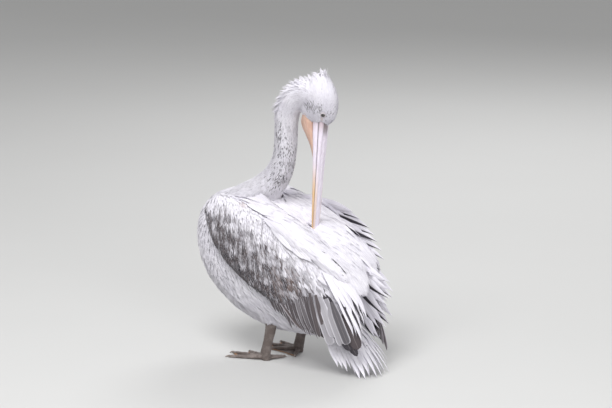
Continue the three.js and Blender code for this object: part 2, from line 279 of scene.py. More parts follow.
class Hide:
    """A surface that feathers grow from and lie along, with its points in millimetres."""

    def __init__(self, points, tris, uv, region, way=None):
        self.points, self.tris, self.uv, self.region, self.way = points, tris, uv, region, way
        corners = points[tris]
        self.middles = corners.mean(1)
        flat = np.cross(corners[:, 1] - corners[:, 0], corners[:, 2] - corners[:, 0])
        self.area = np.linalg.norm(flat, axis=1) / 2
        summed = [np.bincount(tris.ravel(), np.repeat(n, 3), len(points)) for n in flat.T]
        self.normals = unit(np.stack(summed, -1))
        self.outward = unit(flat)
        self.tree = BVHTree.FromPolygons(points.tolist(), tris.tolist())

    def settle(self, points):
        """The nearest place on the skin to each point, and the skin's direction out there."""
        found = [self.tree.find_nearest(p) for p in points.tolist()]
        faces = [f[2] for f in found]
        return np.array([f[0] for f in found]), unit(self.normals[self.tris[faces]].mean(1))

    def patch(self, points):
        """Where the nearest place on the skin lies in its unwrap."""
        faces = [self.tree.find_nearest(p)[2] for p in points.tolist()]
        return self.uv[faces].mean(1)

    def sow(self, wanted, spacing, seed):
        """Roots spread evenly over the triangles, wanted from 0 to 1, spacing apart."""
        rng = np.random.default_rng(seed)
        corners = self.points[self.tris]
        gap = np.broadcast_to(np.asarray(spacing, float), len(self.tris))
        each = rng.poisson(TRIALS * wanted * self.area / gap**2)
        face = np.repeat(np.arange(len(each)), each)
        a, b = rng.random((2, len(face)))
        a = np.sqrt(a)
        weight = np.stack([1 - a, a * (1 - b), a * b], -1)[..., None]
        points = (corners[face] * weight).sum(1)
        tree = KDTree(len(points))
        for i, p in enumerate(points.tolist()):
            tree.insert(p, i)
        tree.balance()
        free, kept = np.ones(len(points), bool), []
        for i in rng.permutation(len(points)):
            if free[i]:
                kept.append(i)
                close = tree.find_range(points[i], NEAREST * gap[face[i]])
                free[[found[1] for found in close]] = False
        kept = np.array(kept)
        face, weight = face[kept], weight[kept]
        up = unit((self.normals[self.tris[face]] * weight).sum(1))
        patch = (self.uv[face] * weight).sum(1)
        return Roots(points[kept], up, patch, self.region[face], seed)

    def lie(self, points, up, region):
        """The direction in which feathers lie at each point, along the surface."""
        if self.way is None:
            return lie_of_coat(points, up, region)
        return laid(self.way(points), up)


def hide_of(thing, regions):
    """A Hide of a finished object, whose regions are given by a function of places."""
    mesh = thing.data
    mesh.calc_loop_triangles()
    points, tris = points_of(mesh), fetch(mesh.loop_triangles, "vertices", 3)
    uv = fetch(mesh.uv_layers["OFBake"].uv, "vector", 2, np.float32)
    uv = uv[fetch(mesh.loop_triangles, "loops", 3)]
    return Hide(points, tris, uv, regions(points[tris].mean(1)))


class Roots:
    """Where feathers grow: their places, the way out of the skin, and their part of its unwrap."""

    def __init__(self, points, up, patch, region, seed):
        self.points, self.up, self.patch, self.region, self.seed = points, up, patch, region, seed

    def __len__(self):
        return len(self.points)

    def only(self, kept):
        fields = (self.points, self.up, self.patch, self.region)
        return Roots(*(field[kept] for field in fields), self.seed)


# ------------------------------------------------------------------ which way feathers lie


# A region is a node's place in FLESH.
HEAD, NECK, TRUNK, THIGHS, WINGS = (0,), (1, 2), (3,), (4, 5), (6, 7)
NECK_POINTS = spline(NECK_LINE, np.linspace(0, 1, 90))
NECK_WAY = unit(-np.gradient(NECK_POINTS, axis=0))


def along_neck(points):
    """The neck's own direction, from head to body, next to each point."""
    gaps = np.linalg.norm(points[:, None] - NECK_POINTS[None], axis=-1)
    return NECK_WAY[gaps.argmin(1)]


def within_wing(points):
    """How far each point lies along a folded wing, and down from its upper to its lower edge."""
    share, place = np.linspace(0, 1, 60), mirrored(points)
    upper, lower = spline(WING_UPPER, share), spline(WING_LOWER, share)
    above = np.linalg.norm(place[:, None] - upper[None], axis=-1)
    below = np.linalg.norm(place[:, None] - lower[None], axis=-1)
    down = above.min(1) / (above.min(1) + below.min(1))
    along = share[above.argmin(1)] * (1 - down) + share[below.argmin(1)] * down
    return along, down


def lie_of_coat(points, up, region):
    """The direction in which feathers lie at each point of the skin."""
    side = np.where(points[:, :1] < 0, -1.0, 1.0)
    out = unit(points - NECK_BASE)
    close = hump(np.linalg.norm(points - NECK_BASE, axis=-1), 0, 210)[:, None]
    ahead = np.clip(-dot(up, BODY_AXIS), 0, 1)[:, None]
    way = out * close + BODY_AXIS * (1 - close) + np.array((0, 0, -0.7)) * ahead
    # Feathers run back from the bill over the face, up the crown, and over the nape.
    over = smooth(728, 776, points[:, 2])[:, None] * smooth(150, 112, points[:, 1])[:, None]
    head = unit(points - (BILL_BASE - (0, 0, 24))) + (0, -0.1, 0.6) + over * (0, -1.3, -0.3)
    way = np.where(np.isin(region, HEAD)[:, None], head, way)
    way = np.where(np.isin(region, NECK)[:, None], along_neck(points), way)
    way = np.where(np.isin(region, THIGHS)[:, None], (0, 0.12, -1.0), way)
    along, _ = within_wing(points)
    steep = np.stack([-0.12 * side[:, 0], 0.22 + 0.5 * along, -0.95 + 0.2 * along], -1)
    way = np.where(np.isin(region, WINGS)[:, None], steep, way)
    return laid(way, up)


# ------------------------------------------------------------------ colours of the plumage


# Dark flecks: the middle of each patch, its size and how thickly it is flecked.
FLECKS = (
    ((36, 10, 626), (13, 13, 14), 0.62),
    ((14, 36, 540), (14, 18, 36), 0.58),
    ((25, 16, 500), (24, 24, 17), 0.55),
    ((30, 10, 570), (28, 30, 75), 0.26),
    ((34, 110, 706), (14, 22, 13), 0.66),
    ((30, 144, 706), (9, 9, 8), 0.60),
    ((24, 168, 688), (12, 8, 14), 0.50),
    ((20, 160, 660), (14, 11, 8), 1.3),
)
STAINS = (((110, -57, 447), 8), ((105, -131, 461), 7))


def markings(points, region, chance):
    """Grey, rust, chance and dark inner vane, which is painted shadow in the slits, for a feather
    at each point. chance is from 0 to 1.
    """
    folded, height = mirrored(points), points[:, 2]
    below = np.isin(region, TRUNK) * smooth(330, 120, height)
    grey = 0.03 + 0.07 * chance + 0.05 * below * chance
    # The neck is a little greyer all over, most of all at the front and low down: the even grey is
    # painted shade, and the blotches in it are mottling.
    throat = np.isin(region, NECK) * smooth(740, 640, height) * smooth(430, 480, height)
    grey += throat * (0.10 + 0.10 * blotches(points, (9, 9, 14), 5).clip(-0.5, 1))
    flecked = sum(near(folded, place, size) * share for place, size, share in FLECKS)
    flecked *= np.isin(region, HEAD + NECK)
    grey = np.where(chance < flecked, 0.55 + 0.35 * np.sin(chance * 97) ** 2, grey)
    along, down = within_wing(points)
    mottle = blotches(points, (16, 17, 17), 3)
    wing = 0.09 + 0.78 * smooth(0.10, 0.62, down + 0.05 * mottle)
    wing += 0.32 * smooth(0.66, 0.95, down) * smooth(0.85, 0.50, along)
    wing += 0.30 * (chance - 0.5) + 0.26 * mottle
    wing -= 0.34 * smooth(0.60, 0.20, down) * smooth(0.48, 0.15, along)
    # Whitish streaks stand in loose patches on the lower half, and the rear is pale.
    patches = smooth(0.45, 0.9, blotches(points, (20, 24, 24), 8))
    wing -= 0.60 * patches * smooth(0.35, 0.6, down) * smooth(0.35, 0.6, chance)
    wing -= 0.20 * smooth(0.62, 0.85, along) * smooth(0.9, 0.6, down)
    wing *= 0.35 + 0.65 * smooth(0.02, np.where(points[:, 0] < 0, 0.55, 0.22), down)
    grey = np.where(np.isin(region, WINGS), wing, grey)
    rust = 0.16 * near(folded, (112, 90, 262), (60, 46, 40)) * smooth(0.4, 0.9, chance)
    rust *= np.isin(region, WINGS)
    for place, size in STAINS:
        rust += 0.8 * near(points, place, size)
    return spread(np.clip(grey, 0, 1), np.clip(rust, 0, 1), chance, 0)


# ------------------------------------------------------------------ feathers


# Half sections of a feather's closed outline: across from -1 to 1, and the rise at each point.
THIN = ((-1, 0), (0, 1), (1, 0))
BROAD = ((-1, 0), (-0.5, 0.8), (-0.06, 1), (0, 1.35), (0.06, 1), (0.5, 0.8), (1, 0))
BROAD += ((0.99, -0.1), (0.5, -0.12), (0, -0.5), (-0.5, -0.12), (-0.99, -0.1))
TUFT = ((-1, 0), (0, 1), (1, 0), (0.98, -0.15), (0, -0.6), (-0.98, -0.15))

# Outlines: the share of the length and of the half width at each step, ending in the tip.
LANCE = ((0, 0.55), (0.3, 1), (0.68, 0.72), (1, 0))
BLADE = ((0, 0.5), (0.14, 0.82), (0.3, 1), (0.5, 1), (0.68, 0.86), (0.82, 0.62), (0.93, 0.32))
BLADE += ((1, 0),)
# Where a long feather's end begins, and how sharply it narrows.
BLADE_ENDS = {"round": (0.80, 0.5), "pointed": (0.55, 1.4), "blunt": (0.9, 0.45)}


class Coat:
    """Feathers gathered into one mesh. Each is a thin closed blade with its own place in OFBake."""

    def __init__(self, name, roundness=0.4):
        self.name, self.roundness = name, roundness
        self.parts, self.faces, self.total, self.strips_used = {}, {}, 0, 0

    def strips(self, count):
        """Places in the unwrap for long feathers, each in a strip of its own."""
        lane = self.strips_used + np.arange(count)
        self.strips_used += count
        return np.stack([(lane % LANES + 0.5) / LANES, (lane // LANES + 0.5) / STRIP_ROWS], -1)

    def add(self, line, up, half, ridge, marks, patch, section, patch_size):
        """line and up are feathers by steps by 3; half and ridge are feathers by steps. The last
        step is the tip. patch is the middle of each feather's place in the unwrap."""
        count, steps = half.shape
        across, rise = np.array(section, float).T
        sides, size = len(across), (steps - 1) * len(across) + 1
        ahead = np.gradient(line, axis=1)
        side = unit(np.cross(ahead, up))
        over = unit(np.cross(side, ahead))
        spread_out = (half[..., None] * across)[..., None] * side[:, :, None]
        raised = (ridge[..., None] * rise)[..., None] * over[:, :, None]
        rings = (line[:, :, None] + spread_out + raised)[:, :-1].reshape(count, -1, 3)
        # The feathers shade as one soft coat, each a little rounded across.
        face = unit(up * 0.5 + over * 0.5)
        soft = face[:, :-1, None] * np.where(rise < 0, -1.0, 1.0)[:, None]
        soft = soft + side[:, :-1, None] * (across * self.roundness)[:, None]
        soft = np.concatenate([soft.reshape(count, -1, 3), face[:, -1:]], 1)
        shares = np.append(np.repeat(np.linspace(0, 1, steps)[:-1], sides), 1.0)
        acrosses = np.append(np.tile(across, steps - 1), 0.0)
        vane = np.empty((count, size, 3))
        vane[..., 0], vane[..., 1], vane[..., 2] = acrosses, shares, half.max(1)[:, None]
        offset = np.stack([acrosses / 2, shares - 0.5], -1) * np.array(patch_size)
        parts = {"points": np.concatenate([rings, line[:, -1:]], 1), "normals": unit(soft)}
        parts |= {"vane": vane, "patches": patch[:, None] + offset}
        parts |= {"marks": np.repeat(marks, size, axis=0)}
        for key, part in parts.items():
            self.parts.setdefault(key, []).append(part.reshape(-1, part.shape[-1]))
        first = self.total + np.arange(count)[:, None, None] * size
        step, edge = np.meshgrid(np.arange(steps - 2), np.arange(sides), indexing="ij")
        a, b = (step * sides + corner for corner in (edge, (edge + 1) % sides))
        quads = np.stack([a, a + sides, b + sides, b], -1).reshape(-1, 4)
        last, edge = (steps - 2) * sides, np.arange(sides)
        tip = np.stack([last + edge, np.full(sides, size - 1), last + (edge + 1) % sides], -1)
        for shape in (quads, tip, edge[None]):
            grown = (first + shape[None]).reshape(-1, shape.shape[1])
            self.faces.setdefault(shape.shape[1], []).append(grown)
        self.total += count * size

    def finish(self, slot, *nodes):
        faces = [np.concatenate(group) for group in self.faces.values()]
        parts = {key: np.concatenate(part) for key, part in self.parts.items()}
        parts["points"][:, 2] = np.maximum(parts["points"][:, 2], LOWEST)
        wear(build(self.name, faces=faces, material=finish_of("plumage"), **parts), slot, *nodes)


def leaders(points, gap, seed):
    """For each point, the number of the nearest of some of them that stand about gap apart."""
    taken, chosen = set(), []
    for i in np.random.default_rng(seed).permutation(len(points)):
        cell = tuple((points[i] // gap).astype(int))
        if cell not in taken:
            taken.add(cell)
            chosen.append(i)
    tree = KDTree(len(chosen))
    for i in chosen:
        tree.insert(points[i], int(i))
    tree.balance()
    return np.array([tree.find(p)[1] for p in points])


def grow(coat, hide, roots, length, half, depth, outline, stand, stray, marks=None,
         section=THIN, patch_size=PATCH_SIZE, gather=0.0, gap=9.0):
    """Lays one feather at each root, down the lie of the coat. stand lifts the tips off it by that
    share of their length, and stray turns each feather by about that many radians. gather draws
    their tips together in locks about gap apart."""
    rng = np.random.default_rng(roots.seed + 1000)
    count = len(roots)
    length, half = np.broadcast_to(length, count), np.broadcast_to(half, count)
    length = length * rng.uniform(0.8, 1.15, count)
    half = half * rng.uniform(0.85, 1.15, count)
    lift = rng.uniform(0.7, 1.1, count) * depth
    sway = rng.normal(0, stray, count)
    shares, widths = np.array(outline, float).T
    place, up = roots.points, roots.up
    line, ups = [place - up * ROOT_DEPTH], [up]
    for step in np.diff(shares):
        ahead = turned(hide.lie(place, up, roots.region), up, sway)
        free = place + ahead * (length * step)[:, None]
        place, turned_up = hide.settle(free)
        # Beyond an edge, a feather goes on straight.
        off = (np.linalg.norm(place - free, axis=-1) > 3 + 0.35 * length * step)[:, None]
        place, up = np.where(off, free, place), np.where(off, up, turned_up)
        line.append(place)
        ups.append(up)
    line, ups = np.stack(line, 1), np.stack(ups, 1)
    rise = lift[:, None] + (np.broadcast_to(stand, count) * length)[:, None] * shares
    line = line + ups * (rise * shares**0.8)[..., None]
    if np.any(gather):
        lead = leaders(roots.points, gap, roots.seed)
        drawn = np.broadcast_to(gather, count)[:, None] * shares**1.5
        line = line + (line[lead] - line) * drawn[..., None]
    if marks is None:
        marks = markings(roots.points, roots.region, rng.random(count))
    wide = half[:, None] * widths
    ridge = 0.07 * wide + 0.4 if section is BROAD else 0.22 * wide + 0.15
    coat.add(line, ups, wide, ridge, marks, roots.patch, section, patch_size)


def outline_of(share, kind):
    """A long feather's half width along its length, for one of the kinds of end."""
    start, power = BLADE_ENDS[kind]
    widening = 0.55 + 0.45 * smooth(0, 0.35, share)
    end = np.clip((share - start) / (1 - start), 0, 1)
    return widening * (1 - end**2) ** power


# How uneven the feathers of a row are in length, how far each is tilted, and its steps.
UNEVEN, TILT, STEPS = 0.05, 0.16, 14


def row(coat, roots, tips, count, half, bulge, out, kind, marks, seed):
    """A row of long feathers, whose roots and tips lie on two smooth lines. Each bulges out from
    the body by bulge in the middle. marks is one or more sets of marks, spread from the first
    feather to the last."""
    rng = np.random.default_rng(seed)
    share = np.linspace(0, 1, count)
    root, tip = spline(roots, share), spline(tips, share)
    tip = root + (tip - root) * rng.normal(1, UNEVEN, (count, 1))
    ahead = unit(tip - root)
    side = laid(unit(np.gradient(root, axis=0)) + unit(np.gradient(tip, axis=0)), ahead)
    up = unit(np.cross(ahead, side))
    up *= np.sign(dot(up, np.array(out)))[:, None]
    # Each feather is tilted a little, so that it lies over its neighbour as a shingle does.
    up = unit(up + side * TILT)
    # The steps are closest together at the tip, so that it is round.
    steps = 1 - (1 - np.linspace(0, 1, STEPS)) ** 1.5
    arch = bulge * 4 * steps * (1 - steps) ** 0.8
    line = root[:, None] + (tip - root)[:, None] * steps[None, :, None]
    line = line + up[:, None] * arch[:, None]
    layer = rng.uniform(-0.6, 0.6, (count, 1, 1)) + np.arange(count)[:, None, None] % 2
    line = line + up[:, None] * layer
    wide = half * outline_of(steps, kind) * rng.uniform(0.9, 1.1, (count, 1))
    wide = np.maximum(wide, 0.3)
    ups = np.broadcast_to(up[:, None], line.shape)
    marks = np.array(marks, float).reshape(-1, 4)
    place = share * (len(marks) - 1)
    marks = np.stack([np.interp(place, np.arange(len(marks)), m) for m in marks.T], -1)
    marks[:, 0] += rng.uniform(-0.14, 0.10, count) * smooth(0.1, 0.5, marks[:, 0])
    coat.add(line, ups, wide, 0.5 + 0.08 * wide, marks, coat.strips(count), BROAD, STRIP_SIZE)


# ------------------------------------------------------------------ finishes


class Wire:
    """A node's output in a finish. Sums on wires become Math nodes."""

    def __init__(self, finish, socket):
        self.finish, self.socket = finish, socket

    def sum(self, operation, *values):
        values = dict(enumerate(values))
        return self.finish.node("ShaderNodeMath", {"operation": operation}, values)

    def __add__(self, other):
        return self.sum("ADD", self, other)

    def __sub__(self, other):
        return self.sum("SUBTRACT", self, other)

    def __rsub__(self, other):
        return self.sum("SUBTRACT", other, self)

    def __mul__(self, other):
        return self.sum("MULTIPLY", self, other)

    __radd__, __rmul__ = __add__, __mul__

    def size(self):
        return self.sum("ABSOLUTE", self)

    def sine(self):
        return self.sum("SINE", self)

    def ramp(self, low, high):
        """0 at low, 1 at high, smooth between them. low may be the larger one."""
        values = {"Value": self, "From Min": low, "From Max": high}
        settings = {"interpolation_type": "SMOOTHSTEP"}
        return self.finish.node("ShaderNodeMapRange", settings, values)


class Finish:
    """A material made of nodes on one Principled shader."""

    def __init__(self, name, **constants):
        self.material = bpy.data.materials.new(name)
        self.material.use_nodes = True
        self.tree = self.material.node_tree
        self.shader = self.tree.nodes["Principled BSDF"]
        for label, value in constants.items():
            label = label.replace("_", " ").title().replace("Ior", "IOR")
            self.shader.inputs[label].default_value = value

    def node(self, kind, settings=None, values=None, out=0):
        node = self.tree.nodes.new(kind)
        for key, value in (settings or {}).items():
            setattr(node, key, value)
        for key, value in (values or {}).items():
            self.feed(node.inputs[key], value)
        return Wire(self, node.outputs[out])

    def feed(self, socket, value):
        if isinstance(value, Wire):
            self.tree.links.new(value.socket, socket)
        elif isinstance(value, (int, float)):
            socket.default_value = value
        else:
            value = tuple(value)
            long = socket.type == "RGBA" and len(value) == 3
            socket.default_value = (*value, 1) if long else value

    def mix(self, share, a, b):
        return self.node("ShaderNodeMix", {"data_type": "RGBA"}, {0: share, 6: a, 7: b}, out=2)

    def attribute(self, name, out="Vector"):
        return self.node("ShaderNodeAttribute", {"attribute_name": name}, out=out)

    def parts_of(self, name):
        """The three parts of an attribute."""
        parts = self.node("ShaderNodeSeparateXYZ", None, {0: self.attribute(name)}).socket.node
        return [Wire(self, out) for out in parts.outputs]

    def place(self, stretch=(1, 1, 1)):
        """The place on the object, in metres, stretched."""
        at = self.node("ShaderNodeTexCoord", out="Object")
        return self.node("ShaderNodeVectorMath", {"operation": "MULTIPLY"}, {0: at, 1: stretch})

    def noise(self, scale, detail, stretch=(1, 1, 1)):
        values = {"Vector": self.place(stretch), "Scale": scale, "Detail": detail}
        return self.node("ShaderNodeTexNoise", None, values)

    def cells(self, scale, stretch=(1, 1, 1)):
        """How far each place is from the border of its cell."""
        values = {"Vector": self.place(stretch), "Scale": scale}
        return self.node("ShaderNodeTexVoronoi", {"feature": "DISTANCE_TO_EDGE"}, values)

    def show(self, colour, roughness=None, height=None, strength=0.3, distance=0.001):
        self.feed(self.shader.inputs["Base Color"], colour)
        if roughness is not None:
            self.feed(self.shader.inputs["Roughness"], roughness)
        if height is not None:
            values = {"Height": height, "Strength": strength, "Distance": distance}
            self.feed(self.shader.inputs["Normal"], self.node("ShaderNodeBump", None, values))
        return self.material


def plumage_finish():
    """Feathers: white to dark grey vanes with a shaft, barbs, pale fringes and rusty stains."""
    look = bpy.context.scene.pelican_plumage
    f = Finish("plumage", specular_ior_level=0.18, sheen_weight=0.04, sheen_roughness=0.5)
    grey, rust, chance = f.parts_of("marks")
    inner = f.attribute("marks", "Alpha")
    across, along, width = f.parts_of("vane")
    large = width.ramp(4.0, 8.0)
    barbs = (along * width * 5.0 + across.size() * width * 1.6).sine() * 0.5 + 0.5
    clouds = f.noise(22.0, 2.0)
    pale = f.mix(clouds.ramp(0.35, 0.65) * 0.6 + chance * 0.4, look.white, look.shade)
    dark = f.mix(chance, look.dark, look.brown)
    edge = across.size().ramp(0.60, 0.95) * 0.34 + along.ramp(0.85, 1.0) * 0.14
    depth = grey * (1 - edge * 1.4) + barbs * large * 0.03
    colour = f.mix(depth.ramp(0.0, 1.0) * 0.25 + depth * 0.75, pale, dark)
    colour = f.mix(rust, colour, look.rust)
    # A feather's dark inner vane is painted shadow, for the slits between overlapping feathers. It
    # is on one side of its shaft, and ends short of the pale edge.
    inside = (across * inner).ramp(0.04, 0.10) * along.ramp(0.12, 0.30)
    colour = f.mix(inside * across.size().ramp(1.0, 0.93), colour, look.dark)
    shaft = across.size().ramp(0.09, 0.03) * large * along.ramp(1.0, 0.9) * 0.34
    colour = f.mix(shaft, colour, look.shaft)
    height = barbs * 0.4 + across.size().ramp(0.10, 0.03) * large
    return f.show(colour, chance * 0.12 + 0.62, height, strength=0.25, distance=0.0006)


def skin_finish():
    """The skin between the feathers, with the plumage's marks, and bare skin round the eye."""
    look, bare = bpy.context.scene.pelican_plumage, bpy.context.scene.pelican_bare
    f = Finish("skin", roughness=0.6)
    grey, rust, naked = f.parts_of("marks")
    down = f.mix(grey, look.shade, look.dark)
    down = f.mix(rust, down, look.rust)
    fold = f.noise(240.0, 4.0)
    flesh = f.mix(fold.ramp(0.3, 0.7), bare.eye_skin, (0.50, 0.42, 0.43))
    colour = f.mix(naked, down, flesh)
    pores = f.cells(420.0)
    return f.show(colour, None, pores * naked + fold * 0.4, strength=0.5, distance=0.0008)


def horn_finish():
    """The bill: lilac-pink horn with long fine grooves, a dark edge, painted shadow at the ridge's
    base and a yellow side.
    """
    bare = bpy.context.scene.pelican_bare
    f = Finish("bill_horn", coat_weight=0.15, coat_roughness=0.3)
    base, yellow, dark = f.parts_of("marks")
    streaks = f.noise(60.0, 5.0, (6.0, 6.0, 0.5))
    spots = f.noise(150.0, 3.0)
    colour = f.mix(streaks.ramp(0.35, 0.68), bare.bill, bare.bill_pale)
    colour = f.mix(base, colour, bare.bill_base)
    colour = f.mix(yellow * (streaks * 0.5 + 0.6), colour, bare.bill_yellow)
    # Bill dark colours the grooves and the gape, and paints the shadow at the ridge's base.
    colour = f.mix(dark * (0.75 + spots * 0.4), colour, bare.bill_dark_and_shadow)
    colour = f.mix(spots.ramp(0.62, 0.75) * 0.25, colour, (0.33, 0.25, 0.26))
    height = streaks + spots * 0.25
    return f.show(colour, spots * 0.2 + 0.28, height, strength=0.35, distance=0.0008)


def pouch_finish():
    """The throat pouch: peach skin with fine long folds and faint veins."""
    bare = bpy.context.scene.pelican_bare
    f = Finish("pouch_skin", subsurface_weight=0.1, subsurface_scale=0.004)
    folds = f.noise(50.0, 4.0, (3.0, 3.0, 0.35))
    veins = f.cells(60.0, (1.6, 1.6, 0.5))
    colour = f.mix(folds.ramp(0.3, 0.7), bare.pouch, bare.pouch_deep)
    colour = f.mix(veins.ramp(0.05, 0.0) * 0.35, colour, (0.55, 0.26, 0.20))
    return f.show(colour, folds * 0.25 + 0.35, folds + veins * 0.2, strength=0.5, distance=0.0015)


def leg_finish():
    """Legs, toes and webs: greyish skin in small scales, with orange at the webs' edges."""
    bare = bpy.context.scene.pelican_bare
    f = Finish("leg_skin")
    orange, worn, _ = f.parts_of("marks")
    scales = f.cells(300.0, (1.0, 1.0, 0.7))
    tints = f.noise(55.0, 4.0)
    colour = f.mix(tints.ramp(0.3, 0.7), bare.leg, bare.leg_deep)
    colour = f.mix(scales.ramp(0.10, 0.0) * 0.6, colour, (0.16, 0.13, 0.12))
    colour = f.mix(worn * tints.ramp(0.4, 0.6), colour, (0.34, 0.29, 0.27))
    colour = f.mix(orange * (0.4 + tints * 0.8), colour, bare.leg_orange)
    height = scales.ramp(0.0, 0.18) + tints * 0.3
    return f.show(colour, tints * 0.25 + 0.4, height, strength=0.6, distance=0.0012)


def claw_finish():
    """The claws: dark streaked horn, paler at the tip."""
    f = Finish("claw_horn")
    streaks = f.noise(260.0, 4.0)
    tip, _, _ = f.parts_of("marks")
    colour = f.mix(streaks, (0.09, 0.075, 0.07), (0.20, 0.165, 0.15))
    colour = f.mix(tip, colour, (0.34, 0.29, 0.25))
    return f.show(colour, streaks * 0.2 + 0.22, streaks, strength=0.3, distance=0.0004)


def eye_finish():
    """The eyeball: a dark pupil in a pale speckled iris with a dark rim."""
    bare = bpy.context.scene.pelican_bare
    f = Finish("eyeball", roughness=0.08, coat_weight=1.0, coat_roughness=0.03)
    out, _, _ = f.parts_of("marks")
    specks = f.noise(900.0, 4.0)
    iris = f.mix(specks.ramp(0.35, 0.65), bare.iris, bare.iris_deep)
    colour = f.mix(out.ramp(0.52, 0.46), iris, (0.008, 0.007, 0.007))
    colour = f.mix(out.ramp(0.86, 0.95), colour, (0.05, 0.035, 0.03))
    return f.show(colour)


def lid_finish():
    """The eyelids: fine folds of bare skin with a dark edge."""
    bare = bpy.context.scene.pelican_bare
    f = Finish("eyelid_skin")
    folds = f.noise(700.0, 4.0)
    edge, _, _ = f.parts_of("marks")
    colour = f.mix(folds.ramp(0.3, 0.7), bare.eye_lid, (0.42, 0.38, 0.40))
    colour = f.mix(edge, colour, (0.05, 0.04, 0.04))
    return f.show(colour, folds * 0.2 + 0.35, folds, strength=0.5, distance=0.0006)


def floor_finish():
    """The studio floor: pale, matt and faintly clouded."""
    look = bpy.context.scene.pelican_stage
    f = Finish("floor_matt", roughness=0.85)
    clouds = f.noise(1.3, 3.0)
    grain = f.noise(420.0, 2.0)
    darker = tuple(0.96 * c for c in look.floor)
    return f.show(f.mix(clouds, look.floor, darker), None, grain, strength=0.08, distance=0.0005)


FINISHES = {"plumage": plumage_finish, "skin": skin_finish, "horn": horn_finish,
    "pouch": pouch_finish, "leg": leg_finish, "claw": claw_finish, "eye": eye_finish,
    "lid": lid_finish, "floor": floor_finish}
MADE = {}


def finish_of(name):
    """A finish's material, made when it is first asked for."""
    if name not in MADE:
        MADE[name] = FINISHES[name]()
    return MADE[name]


# ------------------------------------------------------------------ skin


# How far the skin lies under the CAD's surface, which is the coat's: in feathers and where bare.
COAT_DEPTH = {"head": 2.4, "neck_upper": 3.0, "neck_lower": 4.0, "trunk": 7.0}
COAT_DEPTH |= {"thigh_left": 5.0, "thigh_right": 5.0, "wing_left": 7.0, "wing_right": 7.0}
BARE_DEPTH = 0.6
# The surfaces that later pieces stand on, kept here once they are made.
GROUND = {}


def solids(names):
    """The points in millimetres and the triangles of CAD nodes, and which node each is from."""
    points, tris, owner, start = [], [], [], 0
    for i, name in enumerate(names):
        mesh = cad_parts[name].data
        mesh.calc_loop_triangles()
        corners, places = fetch(mesh.loop_triangles, "vertices", 3), points_of(mesh)
        _, first, same = np.unique(places.round(3), axis=0, return_index=True, return_inverse=True)
        points.append(places[first])
        tris.append(same.ravel()[corners] + start)
        owner.append(np.full(len(tris[-1]), i))
        start += len(first)
    return np.concatenate(points), np.concatenate(tris), np.concatenate(owner)


def flesh_at(places):
    """Which of the FLESH nodes each place is nearest to."""
    if "flesh" not in GROUND:
        points, tris, owner = solids(FLESH)
        GROUND["flesh"] = BVHTree.FromPolygons(points.tolist(), tris.tolist()), owner
    tree, owner = GROUND["flesh"]
    return owner[[tree.find_nearest(p)[2] for p in places.tolist()]]


def averaged(values, edges, times, back=0.5):
    """Values at points, evened out along the edges that join them. back is the pull of every
    other turn, and one below 0 undoes the shrinking."""
    ends = np.concatenate([edges, edges[:, ::-1]])
    count = np.maximum(np.bincount(ends[:, 0], minlength=len(values)), 1)[:, None]
    for turn in range(times):
        pull = back if turn % 2 else 0.5
        total = [np.bincount(ends[:, 0], v[ends[:, 1]], len(values)) for v in values.T]
        values = values + (np.stack(total, -1) / count - values) * pull
    return values


def whole(points, quads, edges):
    """Only the largest connected piece of a mesh."""
    label, before = np.arange(len(points)), None
    while before is None or (before != label).any():
        before = label.copy()
        low = label[edges].min(1)
        for end in edges.T:
            np.minimum.at(label, end, low)
        label = label[label]
    kept = label == np.bincount(label).argmax()
    number = np.cumsum(kept) - 1
    return points[kept], number[quads[kept[quads[:, 0]]]], number[edges[kept[edges[:, 0]]]]


def eye_place(side):
    return EYE * (side, 1, 1)


def bareness(points):
    """1 on the bare skin round the eyes and in front of them, 0 under the feathers."""
    folded = mirrored(points)
    ring = near(folded, EYE + (4, 0, 0), (9, 8.5, 8.5))
    lores = near(folded, (24, 146, 678), (12, 6, 11))
    return smooth(0.40, 0.62, np.maximum(ring, lores))


def grown_together(points, tris, grain):
    """One closed mesh of even quads of about the size grain, round solids that meet."""
    rough = build("rough", points, [tris], finish_of("skin"))
    even = rough.modifiers.new("Even", "REMESH")
    even.mode, even.voxel_size = "VOXEL", grain
    bpy.context.view_layer.update()
    shape = rough.evaluated_get(bpy.context.evaluated_depsgraph_get())
    mesh = bpy.data.meshes.new_from_object(shape)
    bpy.data.objects.remove(rough)
    quads, edges = fetch(mesh.polygons, "vertices", 4), fetch(mesh.edges, "vertices", 2)
    return whole(points_of(mesh), quads, edges)


